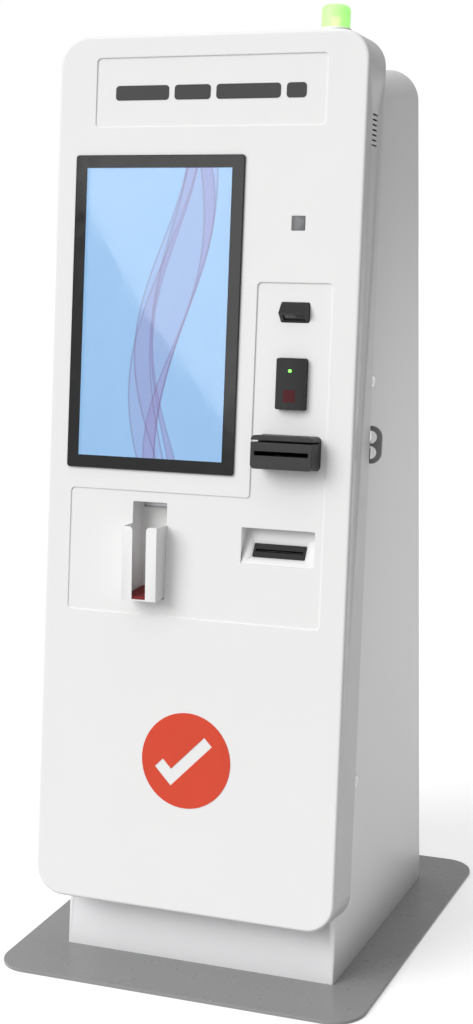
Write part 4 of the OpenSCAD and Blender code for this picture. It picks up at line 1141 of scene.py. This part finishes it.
@dataclass
class Cabinet:
    """The sheet-steel cabinet, narrower towards its top because its front leans."""

    half: float = 247.0
    foot: float = 6.0
    top: float = 1493.0
    front: float = -230.0
    back: float = 255.0
    corner: float = 54.0
    edge: float = 2.5
    wall: float = 2.0
    way_half: float = 235.0
    way: Pair = (125.6, 1473.6)
    panel_half: float = 190.0
    panel: Pair = (200.0, 1330.0)

    def arch(self, inset: float) -> Array:
        """Front outline x, height: square at the foot and round at the two top corners."""
        low = self.foot - 20.0
        corners = [(self.half, low, 0.0), (self.half, self.top, self.corner),
                   (-self.half, self.top, self.corner), (-self.half, low, 0.0)]
        made = rounded(corners, -inset, 14)
        made[:, 1] = np.maximum(made[:, 1], self.foot)
        return made

    def lean(self, height: Array) -> Array:
        """Depth of the leaning front at each height: front + (height - foot) tan(lean)."""
        return self.front + (height - self.foot) * math.tan(LEAN)

    def shell(self) -> bpy.types.Object:
        """Builds the outer skin: the arch carried from the leaning front to the upright back.

        Returns:
            The cabinet.
        """
        skin = Skin()
        border = self.arch(self.edge + 1.6)
        rings = [lift(border, self.lean(border[:, 1]))]
        for a in np.linspace(0, math.pi / 2, 5):
            now = self.arch(self.edge * (1 - math.sin(a)))
            rings.append(lift(now, self.lean(now[:, 1]) + self.edge * (1 - math.cos(a))))
        for a in np.linspace(0, math.pi / 2, 5):
            now = self.arch(self.edge * (1 - math.cos(a)))
            rings.append(lift(now, self.back - self.edge * (1 - math.sin(a))))
        rings.append(lift(border, self.back))
        skin.loft(WORLD.put(np.array(rings)))
        opening = rounded(box_corners((-self.way_half, self.way_half), self.way, 0.5), 0.0, 2)
        skin.fill([WORLD.put(rings[0]), FRONT.put(lift(opening, 0.0))], (0, -1, 0))
        hatch = rounded(box_corners((-self.panel_half, self.panel_half), self.panel, 0.5), 0.0, 2)
        inlet = rounded(box_corners(around(0, 28.6), around(110.0, 48.6), 0.5), 0.0, 2)
        holes = [WORLD.put(lift(hatch, self.back)), WORLD.put(lift(inlet, self.back))]
        skin.fill([WORLD.put(rings[-1]), *holes], (0, 1, 0))
        made = skin.build("cabinet_skin")
        face_outwards(made)
        wall = made.modifiers.new("sheet", "SOLIDIFY")
        wall.thickness = self.wall * MM
        wall.offset = -1.0
        return made

    def build(self) -> None:
        """Makes the cabinet and dresses it."""
        install(self.shell(), CABINET_PAINT, "cabinet_paint", Body.CABINET, "cabinet_body")


@dataclass
class FloorPlate:
    """The steel plate that the cabinet stands on, with its corners and edges rounded."""

    half: Pair = (330.0, 355.0)
    thick: float = 6.0
    corner: float = 55.0
    edge: float = 1.2
    hole_r: float = 6.5
    holes: tuple[Pair, ...] = ((-150, -147.5), (150, -147.5), (-150, 172.5), (150, 172.5))

    def plate(self) -> bpy.types.Object:
        """Builds the plate: outlines that shrink over its rounded top edge, with four holes.

        Returns:
            The plate.
        """
        plan = box_corners((-self.half[0], self.half[0]), (-self.half[1], self.half[1]), self.corner)

        def ring(inset: float, z: float) -> Array:
            """One level of the plate's edge."""
            now = rounded(plan, -inset, 10)
            return np.stack([now[:, 0], now[:, 1], np.full(len(now), z)], axis=1) * MM

        levels = [(0.6, 0.0), (0.0, 0.6), (0.0, self.thick - self.edge)]
        levels += [(i, self.thick - self.edge + h) for i, h in
                   [(self.edge * (1 - math.cos(a)), self.edge * math.sin(a))
                    for a in np.linspace(0, math.pi / 2, 5)]]
        levels.append((self.edge + 1.0, self.thick))
        rings = [ring(i, z) for i, z in levels]
        skin = Skin()
        skin.loft(np.array(rings))
        b = np.linspace(0, 2 * math.pi, 32, endpoint=False)
        wells = [np.stack([x + self.hole_r * np.cos(b), y + self.hole_r * np.sin(b)], axis=1)
                 for x, y in self.holes]
        tops = [np.column_stack([w, np.full(32, self.thick)]) * MM for w in wells]
        lows = [np.column_stack([w, np.zeros(32)]) * MM for w in wells]
        for low, high in zip(lows, tops):
            skin.loft(np.array([low, high]))
        skin.fill([rings[-1], *tops], (0, 0, 1))
        skin.fill([rings[0], *lows], (0, 0, -1))
        made = skin.build("floor_plate")
        face_outwards(made)
        return made

    def build(self) -> None:
        """Makes the plate and dresses it."""
        install(self.plate(), PLATE_PAINT, "plate_paint", Body.CABINET, "base_plate")


# ---- stage ----


@dataclass
class Studio:
    """Pale floor, soft lights, a card that the display reflects, and the camera."""

    camera_at: Point = (1.2755, -3.0544, 1.4741)
    swing: float = 0.3970
    down: float = 0.2158
    roll: float = -0.0215
    lens: float = 68.54
    card_left: Pair = (-260.0, 1240.0)
    card_bend: Pair = (-105.0, 1000.0)
    card_foot: Pair = (70.0, 800.0)
    card_reach: Pair = (330.0, 1330.0)
    glass_at: float = -4.0
    card_plane: float = -4.2
    card_glow: float = 1.9
    world_light: float = 0.48
    floor_reach: float = 14.0
    floor_glow: float = 0.42
    key: tuple[Point, float, float] = ((-0.95, -1.25, 0.95), 40.0, 2.15)
    top: tuple[Point, float, float] = ((-0.1, -0.2, 1.0), 70.0, 0.9)

    def camera(self) -> None:
        """Sets the camera up from its swing, downward pitch and roll."""
        c, s = math.cos, math.sin
        ahead = Vector((-s(self.swing) * c(self.down), c(self.swing) * c(self.down), -s(self.down)))
        right = Vector((c(self.swing), s(self.swing), 0.0))
        up = right.cross(ahead)
        right, up = (c(self.roll) * right + s(self.roll) * up, c(self.roll) * up - s(self.roll) * right)
        data = bpy.data.cameras.new("view")
        data.lens, data.sensor_width, data.sensor_fit = self.lens, 36.0, "AUTO"
        data.clip_end = 60.0
        made = bpy.data.objects.new("view", data)
        made.matrix_world = Matrix((
            (right.x, up.x, -ahead.x, self.camera_at[0]), (right.y, up.y, -ahead.y, self.camera_at[1]),
            (right.z, up.z, -ahead.z, self.camera_at[2]), (0.0, 0.0, 0.0, 1.0)))
        bpy.context.scene.collection.objects.link(made)
        bpy.context.scene.camera = made

    def light(self, name: str, from_side: Point, spread: float, strength: float) -> None:
        """Adds a far, soft light that falls evenly on the floor and the object.

        Args:
            name: name of the light.
            from_side: direction that it comes from.
            spread: its width in degrees as seen from the object.
            strength: its strength in watts per square metre.
        """
        data = bpy.data.lights.new(name, "SUN")
        data.energy, data.angle = strength, math.radians(spread)
        made = bpy.data.objects.new(name, data)
        made.rotation_euler = Vector(from_side).to_track_quat("Z", "Y").to_euler()
        made.visible_glossy = False
        bpy.context.scene.collection.objects.link(made)

    def surroundings(self) -> None:
        """Sets a white world that lights softly, and a pale floor."""
        world = bpy.data.worlds.new("studio")
        bpy.context.scene.world = world
        world.use_nodes = True
        tree = world.node_tree
        back = tree.nodes["Background"]
        path = tree.nodes.new("ShaderNodeLightPath")
        pick = tree.nodes.new("ShaderNodeMix")
        pick.data_type = "FLOAT"
        pick.inputs[2].default_value = self.world_light
        pick.inputs[3].default_value = 1.0
        tree.links.new(path.outputs["Is Camera Ray"], pick.inputs[0])
        tree.links.new(pick.outputs[0], back.inputs["Strength"])
        back.inputs["Color"].default_value = (1.0, 1.0, 1.0, 1.0)
        grid = np.linspace(-self.floor_reach, self.floor_reach, 9)
        x, y = np.meshgrid(grid, grid)
        skin = Skin()
        skin.loft(np.stack([x, y, np.full(x.shape, -0.0004)], axis=-1), closed=False)
        floor = skin.build("studio_floor")
        paint = Finish("pale_floor", (0.7, 0.7, 0.7), 0.75, grain=500, relief=4, drift=0.004, wear=0.0)
        pale = paint.material()
        shader = [n for n in pale.node_tree.nodes if n.type == "BSDF_PRINCIPLED"][0]
        shader.inputs["Emission Color"].default_value = (1.0, 1.0, 1.0, 1.0)
        shader.inputs["Emission Strength"].default_value = self.floor_glow
        floor.data.materials.append(pale)
        floor.visible_diffuse = False
        self.flag()

    def flag(self) -> None:
        """Stands a grey screen to the right, which takes light off that side as in a studio."""
        y, z = np.meshgrid(np.linspace(-4.0, 4.0, 3), np.linspace(0.0, 3.4, 3))
        skin = Skin()
        skin.loft(np.stack([np.full(y.shape, 3.6), y, z], axis=-1), closed=False)
        screen = skin.build("grey_screen")
        cloth = Finish("screen_cloth", (0.1, 0.1, 0.1), 0.9, drift=0.02, wear=0.0)
        screen.data.materials.append(cloth.material())
        screen.visible_camera = False
        screen.visible_shadow = False

    def reflected_card(self) -> None:
        """Hangs a bright card where the display's glass shows it above a bent, slanting line.

        Each corner is the point where the line from the camera's mirror image, through a point on
        the glass, meets an upright plane in front of the kiosk.
        """
        eye = np.array(self.camera_at)
        base = DOOR.put(np.array([0.0, self.glass_at, 0.0]))
        normal = DOOR.put(np.array([0.0, self.glass_at - 1.0, 0.0])) - base
        normal /= np.linalg.norm(normal)
        image = eye - 2 * np.dot(eye - base, normal) * normal
        right, high = self.card_reach
        edge = [self.card_left, self.card_bend, self.card_foot]
        edge += [(right, self.card_foot[1]), (right, high), (self.card_left[0], high)]
        spots = [(x, self.glass_at, s) for x, s in edge]
        through = DOOR.put(np.array(spots))
        ahead = through - image
        reach = (self.card_plane - image[1]) / ahead[:, 1]
        corners = image + ahead * reach[:, None]
        skin = Skin()
        skin.fill([corners], (0, 1, 0))
        card = skin.build("reflected_card")
        g = Graph("card_glow")
        g.tree.nodes.remove(g.shader)
        glow = g.tree.nodes.new("ShaderNodeEmission")
        glow.inputs["Strength"].default_value = self.card_glow
        g.tree.links.new(glow.outputs[0], g.out.inputs["Surface"])
        card.data.materials.append(g.material)
        card.visible_camera = False
        card.visible_diffuse = False
        card.visible_shadow = False

    def build(self) -> None:
        """Sets the whole stage."""
        self.camera()
        self.surroundings()
        self.reflected_card()
        self.light("key", *self.key)
        self.light("top", *self.top)
        bpy.context.scene.view_settings.view_transform = "Standard"


def carry_over() -> None:
    """Dresses the frame's nodes that stay in sight."""
    for node, (finish, slot) in CARRIED.items():
        dress(FRAME["nodes"][node], finish)


FRAME: dict = {}


def main() -> None:
    """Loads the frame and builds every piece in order."""
    logging.basicConfig(level=logging.INFO, format="%(name)s: %(message)s")
    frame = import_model()
    FRAME.update(frame)
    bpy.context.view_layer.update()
    steps: list[tuple[str, Callable[[], None]]] = [
        ("studio", Studio().build), ("door shell", DoorShell().build), ("display", Display().build),
        ("contactless reader", ContactlessReader().build), ("softened pieces", SoftParts().build),
        ("printer recess", PrinterRecess().build), ("beacon", Beacon().build),
        ("cabinet", Cabinet().build), ("floor plate", FloorPlate().build),
        ("carried-over nodes", carry_over),
    ]
    for name, step in steps:
        step()
        LOG.info("built %s", name)


if __name__ == "__main__":
    main()
